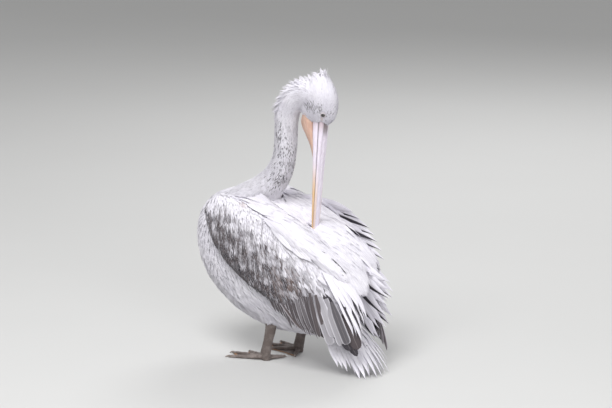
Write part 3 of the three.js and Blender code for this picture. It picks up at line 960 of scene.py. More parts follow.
def make_skin():
    """One skin in place of the solids of flesh, below them by the depth of the coat."""
    points, tris, _ = solids(FLESH)
    grain = bpy.context.scene.pelican_plumage.skin_grain
    points, quads, edges = grown_together(points, tris, grain)
    # The cells' steps are evened out first, and then the bumps, without any shrinking.
    points = averaged(averaged(points, edges, 6), edges, 16, -0.53)
    region = flesh_at(points)
    depth = averaged(np.array([COAT_DEPTH[name] for name in FLESH])[region, None], edges, 12)
    naked = bareness(points)[:, None]
    depth = depth * (1 - naked) + BARE_DEPTH * naked
    # Bare skin stands up in a low ring round each eye.
    for side in SIDES.values():
        away = np.linalg.norm(points - eye_place(side) - (4 * side, 0, 0), axis=-1)
        depth[:, 0] -= 1.4 * hump(away, 10, 3)
    draft = build("draft", points, [quads], finish_of("skin"))
    normals = fetch(draft.data.vertex_normals, "vector", 3, np.float32)
    bpy.data.objects.remove(draft)
    points, naked = points - normals * depth, naked[:, 0]
    grey, rust, _, _ = markings(points, region, np.full(len(points), 0.5)).T
    marks = spread(np.clip(grey + 0.12, 0, 1) * (1 - naked), rust, naked, 0)
    skin = build("skin", points, [quads], finish_of("skin"), marks)
    skin.data.uv_layers.new(name="OFBake")
    for thing in bpy.context.selected_objects:
        thing.select_set(False)
    bpy.context.view_layer.objects.active = skin
    skin.select_set(True)
    bpy.ops.object.mode_set(mode="EDIT")
    bpy.ops.mesh.select_all(action="SELECT")
    bpy.ops.uv.smart_project(angle_limit=math.radians(66), island_margin=0.002)
    bpy.ops.object.mode_set(mode="OBJECT")
    wear(skin, "plumage", *FLESH)
    GROUND["skin"] = hide_of(skin, flesh_at)


# ------------------------------------------------------------------ small feathers


# How far apart the roots of each kind of small feather stand, in millimetres.
SPACING = {"head": 2.3, "neck": 3.0, "breast": 6.4, "thigh": 4.2, "wing": 4.6, "shoulder": 10.5}


def sown(kind, wanted, seed, wider=0.0):
    """Roots of a kind of small feather on the skin, where wanted, and wider apart by that much."""
    stretch = bpy.context.scene.pelican_plumage.spacing
    return GROUND["skin"].sow(wanted * 1.0, (SPACING[kind] + wider) * stretch, seed)


def make_head_feathers():
    """Short velvety feathers over the face and crown, and a shaggy crest on the nape."""
    hide = GROUND["skin"]
    at = hide.middles
    wanted = np.isin(hide.region, HEAD) * (bareness(at) < 0.5)
    # The face ends in an edge that runs down from the cheeks to the forehead.
    wanted = wanted * (at[:, 2] > 671 - 0.5 * np.maximum(at[:, 1] - 128, 0))
    roots = sown("head", wanted, 11)
    _, back, high = roots.points.T
    crown = smooth(712, 772, high)
    nape = smooth(742, 776, high) * smooth(172, 140, back)
    clump = smooth(-0.5, 0.8, blotches(roots.points, (9, 9, 9), 21))
    cheek = smooth(738, 718, high) * smooth(150, 135, back)
    length = 7 + 6 * crown + 14 * nape + 4 * cheek
    coat = Coat("head_feathers")
    grow(coat, hide, roots, length, 1.15 + 0.3 * crown - 0.15 * cheek, 2.4, LANCE,
         stand=0.04 + 0.08 * crown + 0.65 * nape * clump, stray=0.10 + 0.15 * crown,
         gather=0.75 * nape + 0.1, gap=8.0, section=TUFT)
    coat.finish("plumage", "head")


def make_neck_feathers():
    """Small soft feathers down the neck, and shaggy ones behind its upper part."""
    hide = GROUND["skin"]
    roots = sown("neck", np.isin(hide.region, NECK), 12)
    low = smooth(520, 400, roots.points[:, 2])
    behind = smooth(-0.1, 0.6, -roots.up[:, 1])
    above = smooth(0.1, 0.6, roots.up[:, 2])
    shaggy = smooth(645, 705, roots.points[:, 2]) * np.maximum(behind, above)
    clump = smooth(-0.7, 0.6, blotches(roots.points, (8, 8, 8), 22))
    coat = Coat("neck_feathers")
    for kind, section in ((shaggy > 0.05, TUFT), (shaggy <= 0.05, THIN)):
        downy, loose, raised = low[kind], shaggy[kind], 0.72 * shaggy[kind] * clump[kind]
        grow(coat, hide, roots.only(kind), 8 + 9 * downy + 13 * loose,
             1.3 + 0.9 * downy + 0.3 * loose, 3.0, LANCE, section=section, stand=0.03 + raised,
             stray=0.10, gather=0.75 * loose + 0.15 * downy)
    coat.finish("plumage", "neck_lower", "neck_upper")


def make_body_feathers():
    """Broad soft feathers over the trunk, and small ones on the thighs."""
    hide = GROUND["skin"]
    coat = Coat("breast_feathers")
    roots = sown("breast", np.isin(hide.region, TRUNK), 13)
    grow(coat, hide, roots, 32, 4.2, 5.0, LANCE, stand=0.012, stray=0.08, gather=0.25, gap=16.0)
    coat.finish("plumage", "trunk")
    for side, region in zip(SIDES, THIGHS):
        coat = Coat("thigh_feathers_" + side)
        roots = sown("thigh", hide.region == region, 14 + region)
        grow(coat, hide, roots, 15, 1.9, 4.0, LANCE, stand=0.06, stray=0.15)
        coat.finish("plumage", "thigh_" + side)


def rear_of_wing(points):
    """0 on the front of a folded wing and 1 on its rear."""
    along, _ = within_wing(points)
    return smooth(0.35, 0.9, along)


def make_wing_feathers():
    """Coverts over the folded wings, longer and further apart towards the rear."""
    hide = GROUND["skin"]
    for side, region in zip(SIDES, WINGS):
        coat = Coat("wing_coverts_" + side)
        wider = 2.6 * rear_of_wing(hide.middles)
        roots = sown("wing", hide.region == region, 20 + region, wider)
        rear = rear_of_wing(roots.points)
        grow(coat, hide, roots, 21 + 12 * rear, 2.7 + 1.9 * rear, 5.0, LANCE,
             stand=0.03, stray=0.10)
        coat.finish("wing_plumage", "wing_" + side)


# ------------------------------------------------------------------ long feathers


# The way that the white shoulder feathers lie on each side.
MANTLE_WAY = {"left": (-0.16, 0.74, -0.64), "right": (-0.06, 0.84, -0.54)}
MANTLE = ("trunk", "wing_left", "wing_right", "neck_lower", "scapulars_left", "scapulars_right")
BACK, LEFT_WING, RIGHT_WING, SCAPULARS = 0, 1, 2, (4, 5)

# Each row: the line of its roots, the line of its tips, how many feathers, half width, bulge,
# the way it faces, the kind of ends, and its marks: grey, rust, chance and dark inner vane, the
# painted shadow in the slits between feathers.
# SLIT, DARK_SLIT, OVER_SLIT and BOLD_SLIT paint shadow in the slits between overlapping feathers,
# as a dark inner vane.
WHITE, SLIT, DARK_SLIT = (0.03, 0, 0.5, 0), (0.03, 0, 0.5, -0.16), (0.05, 0, 0.5, -0.6)
OVER_SLIT, BOLD_SLIT = (0.05, 0, 0.5, 0.3), (0.05, 0, 0.5, 0.7)
ROWS = {
    "tertials_right": (
        (((-92, -40, 424), (-108, -20, 410), (-120, 0, 390), (-128, 30, 364)),
         ((-150, 124, 394), (-164, 164, 354), (-169, 200, 316), (-168, 206, 276)),
         7, 13, 16, (-0.3, 0.5, 0.85), "pointed",
         (WHITE, SLIT, DARK_SLIT, SLIT, DARK_SLIT, SLIT, SLIT)),
        (((-84, -20, 426), (-100, 0, 412), (-112, 20, 390), (-122, 46, 364)),
         ((-112, 66, 408), (-124, 96, 378), (-132, 122, 346), (-134, 140, 308)),
         8, 15, 14, (-0.3, 0.5, 0.85), "pointed", WHITE),
    ),
    "secondaries_right": (
        (((-126, 40, 330), (-128, 50, 290), (-126, 66, 250), (-118, 90, 220)),
         ((-160, 241, 213), (-150, 256, 169), (-136, 257, 115), (-120, 252, 58)),
         8, 15, 16, (-1, 0.3, 0.2), "pointed",
         (WHITE, WHITE, SLIT, WHITE, WHITE, DARK_SLIT, SLIT, DARK_SLIT)),
        (((-118, 60, 330), (-120, 70, 290), (-118, 84, 250), (-110, 104, 220)),
         ((-140, 232, 222), (-134, 244, 176), (-122, 246, 126), (-108, 244, 74)),
         10, 14, 12, (-1, 0.3, 0.2), "pointed", WHITE),
        (((-82, 160, 232), (-80, 150, 262), (-76, 140, 290), (-70, 130, 312)),
         ((-93, 230, 81), (-94, 259, 76), (-95, 277, 126), (-97, 288, 184), (-98, 282, 236)),
         10, 14, 16, (1, 0.3, 0.2), "pointed",
         (WHITE, OVER_SLIT, WHITE, OVER_SLIT, WHITE, OVER_SLIT, WHITE, OVER_SLIT, WHITE, WHITE)),
    ),
    "tail": (
        # The first layer's last mark paints thin shadow lines between the tail's feathers.
        (((44, 176, 122), (26, 188, 130), (0, 194, 134), (-24, 190, 132), (-46, 182, 128)),
         ((66, 236, 24), (52, 276, 5), (34, 320, 2), (-18, 332, 3), (-86, 290, 18)),
         13, 12, 8, (0, 0.75, 0.66), "pointed", (0.0, 0, 0.5, -0.09)),
        (((40, 182, 132), (22, 194, 140), (0, 200, 144), (-22, 196, 142), (-42, 188, 138)),
         ((60, 226, 40), (46, 262, 20), (30, 304, 12), (-16, 314, 12), (-76, 276, 30)),
         14, 10, 8, (0, 0.75, 0.66), "pointed", (0.0, 0, 0.4, 0)),
    ),
    "primaries_left": (
        (((118, 40, 250), (104, 110, 262), (84, 170, 268)),
         ((112, 146, 136), (88, 228, 100), (68, 282, 94)),
         10, 13, 10, (1, 0.15, 0.1), "round",
         ((1.1, 0.05, 0.5, 0), (1.1, 0.05, 0.5, 0), (1.6, 0.03, 0.3, 0), (2.5, 0, 0.0, 0))),
        (((90, 220, 190), (84, 240, 180), (74, 256, 175)),
         ((80, 282, 92), (72, 296, 78), (64, 302, 86)),
         3, 15, 6, (1, 0.25, 0.1), "round",
         ((2.4, 0, 0.0, 0), (2.6, 0, 0.0, 0), (2.5, 0.03, 0.3, 0))),
        (((112, 176, 228), (106, 192, 224)), ((108, 204, 122), (102, 228, 112)),
         2, 7, 5, (1, 0.25, 0.1), "round", ((1.35, 0, 0.6, 0), (1.35, 0, 0.7, 0))),
        (((104, 188, 220), (98, 210, 218), (90, 232, 208)),
         ((100, 236, 106), (95, 262, 98), (86, 286, 96)),
         4, 12, 6, (1, 0.3, 0.1), "blunt",
         ((0.66, 0, 0.1, 0), (0.50, 0, 0.1, 0), (0.82, 0, 0.1, 0))),
        (((127, 30, 266), (124, 74, 240), (118, 118, 220), (108, 170, 215)),
         ((121, 68, 168), (119, 112, 139), (113, 160, 116), (105, 212, 112)),
         24, 6.5, 5, (1, 0.2, 0.1), "pointed",
         ((1.15, 0, 0.4, 0), (1.0, 0, 0.4, 0), (0.95, 0, 0.4, 0))),
    ),
    "tertials_left": (
        (((74, 196, 302), (62, 204, 298), (48, 208, 290)),
         ((72, 296, 112), (54, 308, 126), (34, 308, 160)),
         8, 10, 12, (0.8, 0.5, 0.3), "pointed",
         (WHITE, OVER_SLIT, WHITE, BOLD_SLIT, WHITE, OVER_SLIT, BOLD_SLIT, WHITE)),
        (((76, 180, 306), (64, 190, 300), (50, 200, 290)),
         ((78, 270, 170), (62, 290, 172), (44, 298, 190)),
         7, 9, 12, (0.8, 0.5, 0.3), "pointed", WHITE),
    ),
    "primaries_right": (
        (((-120, 40, 250), (-112, 100, 270), (-100, 130, 300)),
         ((-114, 150, 128), (-106, 230, 76), (-96, 268, 62)),
         10, 14, 12, (-1, 0.15, 0.1), "round", (0.72, 0.1, 0.5, 0)),
        (((-128, 30, 262), (-128, 74, 240), (-124, 118, 222)),
         ((-126, 72, 166), (-124, 116, 138), (-120, 160, 116)),
         14, 6.5, 5, (-1, 0.2, 0.1), "pointed", (0.55, 0, 0.5, 0)),
    ),
}


def make_long_feathers():
    """The rows of long feathers of the wings and the tail."""
    for seed, (name, layers) in enumerate(ROWS.items()):
        coat = Coat(name + "_feathers")
        for layer in layers:
            row(coat, *layer, seed)
        coat.finish("plumage" if name == "tail" else "wing_plumage", name)


# The way to the bird's right rear, over the tertials.
TOWARDS_RIGHT = np.array((-0.616, 0.788, 0.0))
# Where the tips with dark slits of painted shadow lie.
SHADOW_SLIT_TIPS = ((60, 200, 318), (56, 232, 290), (52, 262, 262), (46, 285, 240))
# The pad of down behind the bill: its middle line, and its half width and half height there.
PAD = ((-12, 40, 333), (-14, 96, 330), (-8, 180, 296), (-2, 250, 242), (-2, 276, 214))
PAD_HALF = ((44, 20), (62, 32), (56, 29), (44, 16), (30, 6))
# The size of the mantle's cells in metres, how far the scapulars swell before they are joined
# to it, and how deep the two faces of the down lie under it, in millimetres.
MANTLE_GRAIN, SWELLING, DOWN_DEPTHS = 0.006, 3, (2.2, 5.0)
# A feather whose tip would be further off the mantle than this is left out.
TIP_REACH = 26


def way_of_mantle(points):
    """The way that the shoulder feathers lie at each point, blended over the back."""
    left = smooth(-40, 40, points[:, 0])[:, None]
    return left * np.array(MANTLE_WAY["left"]) + (1 - left) * np.array(MANTLE_WAY["right"])


def make_mantle():
    """The smooth surface over the shoulders that the long white feathers lie on."""
    solid, corners, owner = solids(MANTLE)
    swollen, thin = solid.copy(), np.unique(corners[np.isin(owner, SCAPULARS)])
    swollen[thin] += Hide(solid, corners, None, None).normals[thin] * SWELLING
    # A pad of down fills the hollow between the two tracts, behind the bill.
    share, turn = np.linspace(0, 1, 30), around(20)
    line, half = spline(PAD, share), spline(PAD_HALF, share)
    pad, quads, fans = tube(ringed(line, np.cos(turn) * half[:, :1], np.sin(turn) * half[:, 1:]))
    tris = np.concatenate([corners, halves(quads) + len(solid), fans + len(solid)])
    points, quads, edges = grown_together(np.concatenate([swollen, pad]), tris, MANTLE_GRAIN)
    points, tris = averaged(points, edges, 14), halves(quads)
    uv = GROUND["skin"].patch(points)[tris]
    tree = BVHTree.FromPolygons(solid.tolist(), corners.tolist())
    nearest = [tree.find_nearest(p)[2] for p in points[tris].mean(1).tolist()]
    return Hide(points, tris, uv, owner[nearest], way_of_mantle)


def lay_down(mantle, wanted):
    """A white slab of down, just under the long feathers of the shoulders."""
    used, corners = np.unique(mantle.tris[wanted > 0], return_inverse=True)
    tris, count = corners.reshape(-1, 3), len(used)
    sheets = [mantle.points[used] - mantle.normals[used] * depth for depth in DOWN_DEPTHS]
    sides = np.concatenate([tris[:, [0, 1]], tris[:, [1, 2]], tris[:, [2, 0]]])
    # A side whose reverse is no other triangle's side is on the rim.
    rim = sides[~np.isin(sides @ (count, 1), sides @ (1, count))]
    walls = np.stack([rim[:, 1], rim[:, 0], rim[:, 0] + count, rim[:, 1] + count], -1)
    both = np.concatenate([tris, tris[:, ::-1] + count])
    patches = np.tile(mantle.patch(mantle.points[used]), (2, 1))
    down = build("shoulder_down", np.concatenate(sheets), [both, walls], finish_of("skin"),
                 np.zeros((2 * count, 4)), patches=patches)
    wear(down, "plumage")


def covered(mantle):
    """Where on the mantle the shoulder feathers grow."""
    at, level = mantle.middles, mantle.outward[:, 2]
    back = (mantle.region == BACK) * (abs(at[:, 0]) < 80) * (level > 0.05)
    hollow = (abs(at[:, 0]) < 70) * (at[:, 1] > 20) * (level > -0.5)
    back = np.maximum(back, hollow) * (at[:, 2] > 190)
    tract = np.isin(mantle.region, SCAPULARS) * (level > -0.1)
    _, down = within_wing(at)
    top = (mantle.region == RIGHT_WING) * (down < 0.30)
    top = top + (mantle.region == LEFT_WING) * (down < 0.07)
    return np.clip(back + tract + top, 0, 1) * (at[:, 1] > -104)


def make_shoulder_feathers():
    """Long white feathers over both shoulders and the back, on their slab of down."""
    mantle = make_mantle()
    wanted = covered(mantle)
    lay_down(mantle, wanted)
    for seed, (name, side) in enumerate(SIDES.items()):
        left = mantle.middles[:, 0] > 0
        roots = mantle.sow(wanted * (left == (side == LEFT)), SPACING["shoulder"], 40 + seed)
        rear = smooth(-100, 60, roots.points[:, 1])
        length = 46 + 44 * rear
        ends = roots.points + unit(way_of_mantle(roots.points)) * (0.9 * length)[:, None]
        over = np.linalg.norm(mantle.settle(ends)[0] - ends, axis=-1) < TIP_REACH
        over |= (roots.region == BACK) & (roots.points[:, 1] < 150)
        # On the right they stop short, and the tertials' tips stand clear of them.
        over &= ~((ends @ TOWARDS_RIGHT > 196) & (ends[:, 0] < -60) & (ends[:, 2] > 292))
        roots, length, rear, ends = roots.only(over), length[over], rear[over], ends[over]
        chance = np.random.default_rng(60 + seed).random(len(roots))
        _, rust, _, _ = markings(roots.points, roots.region, chance).T
        # The feather whose tip is nearest each place gets a dark inner vane: painted shadow in the
        # slits under the overlapping tips.
        slit_shadow = np.zeros(len(roots))
        for place in SHADOW_SLIT_TIPS:
            off = np.linalg.norm(ends - np.array(place), axis=-1)
            if off.min() < 30:
                slit_shadow[off.argmin()] = 0.5
        coat = Coat("shoulder_feathers_" + name, 0.25)
        grow(coat, mantle, roots, length, 6.0 + 2.5 * rear, 4.5, BLADE, stand=0.012, stray=0.08,
             marks=spread(0.02 + 0.05 * chance, rust, chance, slit_shadow), section=BROAD,
             patch_size=BROAD_PATCH_SIZE)
        coat.finish("plumage", "scapulars_" + name)


# ------------------------------------------------------------------ bill and pouch


BILL_LENGTH = float(np.linalg.norm(BILL_TIP - BILL_BASE))
BILL_WAY = unit(BILL_TIP - BILL_BASE)
CULMEN = unit(np.array((0, 1.0, 0)) - BILL_WAY * BILL_WAY[1])
BILL_SIDE = unit(np.cross(BILL_WAY, CULMEN))
# Share of the bill's length, place towards the culmen, half width and half depth.
UPPER_BILL = ((-0.06, 11.5, 14, 8), (0.04, 11.5, 16.5, 8.5), (0.2, 10, 16, 6.8),
    (0.45, 7.6, 14.5, 5.2), (0.7, 5.8, 13.5, 4), (0.9, 4.4, 12, 3.5), (0.97, 3, 8, 3.7),
    (1, 0.2, 2.5, 2.8))
LOWER_BILL = ((-0.04, -8, 14.5, 11.5), (0.06, -7, 16, 11.2), (0.25, -5.4, 14.8, 9),
    (0.5, -4, 13.3, 6.5), (0.75, -3, 11.8, 5), (0.93, -2.6, 9, 3.6), (0.965, -2.5, 3, 2.5))
# The pouch's middle line, and its half width and its half depths forwards and backwards.
POUCH_LINE = ((0, 92, 690), (0, 90, 664), (-1, 96, 636), (-2, 104, 600), (-5, 106, 560),
    (-8, 103, 505))
POUCH_HALF = ((20, 16, 16), (16, 22, 26), (12, 18, 20), (9, 12, 12), (7, 8, 7), (5, 5, 4))


def squarish(turn, power):
    """Across round a section from -1 to 1. A low power makes the section squarer."""
    return np.sign(np.cos(turn)) * np.abs(np.cos(turn)) ** power


def upper_section(turn):
    """A flat-backed ridge between two grooves, over edges that turn down."""
    across, up = squarish(turn, 0.8), np.sin(turn)
    ridge = 0.28 * np.exp(-((across / 0.26) ** 4)) - 0.20 * hump(abs(across), 0.46, 0.10)
    top = 0.78 * abs(up) ** 0.8 + ridge * (up > 0.2)
    edge = 0.75 * abs(up) ** 0.7 + 0.35 * hump(abs(across), 0.93, 0.10)
    return across, np.where(up > 0, top, 0) - np.where(up < 0, edge, 0)


def lower_section(turn):
    """The two thick branches of the jaw, and the skin of the pouch that spans them."""
    across, up = squarish(turn, 0.75), np.sin(turn)
    branch = 0.35 * hump(abs(across), 0.82, 0.16)
    return across, np.where(up < 0, -(0.62 * abs(up) ** 0.8 + branch), 1.12 * abs(up) ** 0.6)


def upper_marks(share, across, up):
    """A dusky base, yellow sides and nail, painted shadow at the ridge's base, and dark grooves and
    gape.
    """
    tip = smooth(0.35, 0.75, share) * 0.55
    yellow = tip * smooth(0.55, 0.95, abs(across)) + 0.9 * smooth(0.93, 0.97, share)
    # Painted shadow: the ridge's base, next to the face, is darkened for the bill's shaded far
    # side.
    dark = 0.75 * smooth(0.78, 0.95, up) * smooth(0.15, 0.05, share)
    dark = dark + 0.10 * hump(abs(across), 0.46, 0.07) * (up > 0)
    dark = dark + 0.9 * smooth(-0.25, -0.42, up) * smooth(0.97, 0.75, share)
    return spread(0.7 * smooth(0.10, 0.0, share), yellow, dark, 0)


def lower_marks(share, across, up):
    """A dusky base, yellow sides that widen to the tip, and a dark gape."""
    yellow = smooth(0.30, 0.65, share) * (0.35 + 0.65 * smooth(0.4, 0.9, abs(across)))
    dark = 0.9 * smooth(0.45, 0.70, up) * smooth(0.97, 0.75, share)
    return spread(0.4 * smooth(0.10, 0.0, share), yellow, dark, 0)


def make_horn(name, shape, steps, section, marks_of):
    """One half of the bill: closed horn with a section and marks that run down its length."""
    turn = around(40)
    across, up = section(turn)
    table = spline(shape, np.linspace(0, 1, steps))
    line = BILL_BASE + BILL_WAY * (table[:, :1] * BILL_LENGTH) + CULMEN * table[:, 1:2]
    rings = line[:, None] + BILL_SIDE * (across * table[:, 2:3])[..., None]
    rings = rings + CULMEN * (up * table[:, 3:4])[..., None]
    marks = marks_of(table[:, :1], across, np.sin(turn))
    wear(build_tubes(name + "_horn", "horn", (rings, marks)), "bill", name)


def make_bill():
    """The upper and the lower bill."""
    make_horn("bill_upper", UPPER_BILL, 110, upper_section, upper_marks)
    make_horn("bill_lower", LOWER_BILL, 90, lower_section, lower_marks)


def make_pouch():
    """The empty throat pouch, from the throat down to the bill."""
    share, turn = np.linspace(0, 1, 90), around(48)
    line, half = spline(POUCH_LINE, share), spline(POUCH_HALF, share)
    # Long folds gather towards the bill, where the pouch is drawn in.
    share = share[:, None]
    folds = 0.05 * np.sin(turn * 11 + 1.5 * np.sin(share * 5)) * smooth(0.05, 0.35, share)
    folds += 0.03 * np.sin(turn * 23 + 7 * share)
    across = np.cos(turn) * half[:, :1] * (1 + folds)
    up = np.sin(turn) * np.where(np.sin(turn) > 0, half[:, 1:2], half[:, 2:]) * (1 + folds)
    points, *faces = tube(ringed(line, across, up))
    wear(build("throat_skin", points, faces, finish_of("pouch")), "pouch", "throat_pouch")


# ------------------------------------------------------------------ eyes


BALL_RADIUS, EYE_SIDES, LID_RINGS = 6.8, 40, 12


def make_eyes():
    """Both eyeballs, each with a ring of bare lids."""
    turn = around(EYE_SIDES)
    for name, side in SIDES.items():
        centre = eye_place(side)
        _, up = GROUND["skin"].settle((centre + (6 * side, 2, 0))[None])
        # The eyes look out level, a little more than the skin round them does.
        out = unit(up[0] * (1, 1, 0.3) + (0, 0, 0.1))
        lean = unit(np.cross(out, (0, 0, 1.0)))
        high = np.cross(lean, out)

        def rounds(away, lift, droop=1.0):
            """Rings round the eye, away from the line that it looks along and lifted along it."""
            flat = lean * (np.cos(turn) * away)[..., None]
            flat = flat + high * (np.sin(turn) * away * droop)[..., None]
            return centre + flat + out * (lift + 0 * away)[..., None]

        polar = np.linspace(0.02, math.pi - 0.02, 26)[:, None]
        radius = BALL_RADIUS + 0.35 * hump(polar, 0, 0.5)
        ball = rounds(np.sin(polar) * radius * np.ones(EYE_SIDES), np.cos(polar) * radius)
        reach = np.where(polar < math.pi / 2, np.sin(polar), 1.0)
        eye = build_tubes("eyeball_" + name, "eye", (ball, spread(reach, 0, 0, 0)))
        wear(eye, "eye", "eye_" + name)
        # Two lids of bare skin meet round the eyeball, the upper one a little lower.
        part = np.linspace(0, 1, LID_RINGS)[:, None]
        away = 4.5 + 0.25 * np.cos(2 * turn) + 6.0 * part
        lift = np.sqrt(7.3**2 - np.minimum(away, BALL_RADIUS) ** 2)
        lift = lift - 1.2 * np.maximum(away - BALL_RADIUS, 0)
        lift = lift + 0.25 * np.cos(part * 26) * smooth(0.05, 0.2, part)
        outer = rounds(away, lift, 1 - 0.06 * smooth(0.2, 0.9, np.sin(turn)) * (1 - part))
        inner = centre + (outer[::-1] - centre) * 0.93 - out * 0.8
        # The tube's ends stay open, and a band joins them round the eye's opening.
        points, quads, _ = tube(np.concatenate([outer, inner]))
        edge, last = np.arange(EYE_SIDES), (2 * LID_RINGS - 1) * EYE_SIDES
        following = (edge + 1) % EYE_SIDES
        band = np.stack([last + edge, last + following, following, edge], -1)
        marks = np.zeros((2 * LID_RINGS, EYE_SIDES, 4))
        marks[[0, 1, -1], :, 0] = np.array((1, 0.5, 1))[:, None]
        faces = [quads, band]
        lid = build("eyelids_" + name, points[:-2], faces, finish_of("lid"), marks.reshape(-1, 4))
        wear(lid, "eye", "eye_" + name)


# ------------------------------------------------------------------ legs


# How far each foot stands to its side, and how far back.
STANCE, STRIDE = 62, {"left": 0, "right": 18}
# The shank's place backwards and upwards, its half width and its half depth.
SHANK = ((5, 108, 12, 17), (3, 90, 11, 16), (-5, 58, 10, 14), (-13, 26, 10.5, 15))
SHANK += ((-16, 14, 11, 16),)
# Each toe's bearing from straight ahead in degrees, positive outwards, and its length.
TOES = ((24, 104), (2, 112), (-22, 88), (-118, 58))
# Along a toe: shares of its length, the height of its middle line and its half width there.
TOE_SHARE = (0, 0.3, 0.6, 0.9, 1.0)
TOE_HEIGHT = (9, 7, 5.5, 4, 3)
TOE_HALF = (8, 6.5, 5.4, 4.2, 3.2)
TOE_JOINTS = (0.36, 0.62, 0.84)
ANKLE = np.array((0.0, -16.0))
WEB_THICKNESS = 1.6


def along_toe(toe, share):
    """Places outwards and backwards of the shank, at shares of a toe's length."""
    bearing, length = toe
    angle = math.radians(bearing)
    return ANKLE + np.array((math.sin(angle), -math.cos(angle))) * length * share[:, None]


def on_foot(side, flat, height):
    """A place on a foot from its place outwards and backwards of the shank, and its height."""
    out, back = np.moveaxis(flat, -1, 0)
    stride = STRIDE["left" if side > 0 else "right"]
    return np.stack([side * (STANCE + out), stride + back, height + 0 * out], -1)


def toe_rings(line, across, up):
    """Rings round a line: level across it, and straight up, but not below the floor."""
    lean = unit(np.cross(unit(np.gradient(line, axis=0)), (0, 0, 1.0)))
    rings = line[:, None] + lean[:, None] * across[..., None]
    rings[..., 2] = np.maximum(rings[..., 2] + up, 0.0)
    return rings


def make_shank(name, side):
    share, turn = np.linspace(0, 1, 120), around(32)
    table = spline(SHANK, share)
    line = np.stack([side * STANCE + 0 * share, STRIDE[name] + table[:, 0], table[:, 1]], -1)
    # Broad plates ring the front of the shank, and small round scales cover the rest.
    share = share[:, None]
    plates = 0.035 * abs(np.sin(share * 46)) ** 0.5 * smooth(0.2, 0.9, np.sin(turn - math.pi))
    knots = 0.02 * np.sin(turn * 9 + share * 60) * np.sin(share * 95)
    swell = 1 + plates + knots + 0.10 * hump(share, 0.03, 0.05)
    across, up = np.cos(turn) * table[:, 2:3] * swell, np.sin(turn) * table[:, 3:] * swell
    shank = build_tubes("shank_skin_" + name, "leg", (ringed(line, across, up), (0, 0.4, 0, 0)))
    wear(shank, "leg", "shank_" + name)


def toe_parts(side):
    """Four scaly toes, thicker at their joints."""
    turn, share = around(20), np.linspace(0, 1, 70)
    height = np.interp(share, TOE_SHARE, TOE_HEIGHT)
    swell = 1 + 0.10 * sum(hump(share, at, 0.05) for at in TOE_JOINTS)
    rounded = np.sqrt(np.clip((1.03 - share) / 0.06, 0.05, 1))
    half = (np.interp(share, TOE_SHARE, TOE_HALF) * swell * rounded)[:, None]
    for toe in TOES:
        scutes = 0.05 * abs(np.sin(share * toe[1] * 0.42))[:, None] * (np.sin(turn) > 0.1)
        up = np.maximum(np.sin(turn) * half * 0.92 * (1 + scutes), -height[:, None])
        line = on_foot(side, along_toe(toe, share), height)
        yield toe_rings(line, np.cos(turn) * half, up), (0, 0.6, 0, 0)


def heel_part(side):
    """The rounded heel pad under the shank."""
    turn, share = around(20), np.linspace(0, 1, 14)
    line = on_foot(side, np.tile((0, -15.0), (14, 1)), share * 17)
    size = np.sqrt(1 - share**4 * 0.75) * (0.9 + 0.1 * smooth(0, 0.2, share))
    across, up = np.cos(turn) * 10.2 * size[:, None], np.sin(turn) * 14.0 * size[:, None]
    return line[:, None] + np.stack([across, up, 0 * up], -1), (0, 0.5, 0, 0)


def web_parts(side):
    """The webs between neighbouring toes: slack sheets with a hollow outer edge."""
    a, b = np.linspace(0.06, 0.97, 30), np.linspace(0.004, 0.996, 22)
    orange = spread(smooth(0.86, 1.0, a)[:, None] * 0.8, 0, 0, 0)
    for toe, next_toe in zip(TOES, TOES[1:]):
        first, last = along_toe(toe, a)[:, None], along_toe(next_toe, a)[:, None]
        out, bow = a[:, None], 4 * b * (1 - b)
        mid = first * (1 - b)[:, None] + last * b[:, None]
        flat = ANKLE + (mid - ANKLE) * (1 - 0.17 * bow * out**3)[..., None]
        sag = bow * np.sqrt(out)
        height = 3.0 + (1 - out) * 3.0 - 1.5 * sag + 0.35 * np.sin(b * 25 + out * 5) * sag
        over = on_foot(side, flat, np.maximum(height, 1.1))
        under = over.copy()
        under[..., 2] = np.maximum(over[..., 2] - WEB_THICKNESS, 0.0)
        yield np.concatenate([over, under[:, ::-1]], 1), orange


def make_foot(name, side):
    parts = (*toe_parts(side), heel_part(side), *web_parts(side))
    wear(build_tubes("foot_skin_" + name, "leg", *parts), "leg", "foot_" + name)


def make_claws(name, side):
    turn, share = around(16), np.linspace(0, 1, 18)
    height = 4.6 - 3.6 * share**1.6 + 0.9 * np.sin(share * math.pi)
    half = (2.9 * np.sqrt(1 - share**1.4) + 0.12)[:, None]
    lines = [on_foot(side, along_toe(toe, 0.95 + 0.15 * share), height) for toe in TOES]
    claws = [toe_rings(line, np.cos(turn) * half * 0.8, np.sin(turn) * half) for line in lines]
    marks = spread(share[:, None], 0, 0, 0)
    wear(build_tubes("claws_" + name, "claw", *((claw, marks) for claw in claws)), "leg")


def make_legs():
    """The shanks, and the feet with their claws."""
    for name, side in SIDES.items():
        make_shank(name, side)
        make_foot(name, side)
        make_claws(name, side)


# ------------------------------------------------------------------ stage


# Where the camera looks from, in degrees and millimetres.
VIEW_AZIMUTH, VIEW_ELEVATION, VIEW_DISTANCE = 38.0, 12.0, 6600.0
# The frame's scale and its size in pixels, and where in it the spot between the feet lies.
MM_PER_PIXEL, FRAME_SIZE, HOME_PIXEL = 2.75, (612, 408), (284.0, 356.0)
# Each lamp: its name, place and size in metres, and its share of the key lamp's power.
LAMPS = (("key", (2.5, 0.6, 4.2), 2.6, 1.0), ("fill", (2.6, 4.6, 1.8), 3.0, 0.52),
    ("back", (-3.6, -1.2, 3.4), 2.4, 0.45))
LAMPS_AIM, FLOOR_HALF, AIR = (0, 0, 0.4), 40.0, (0.93, 0.93, 0.93, 1)


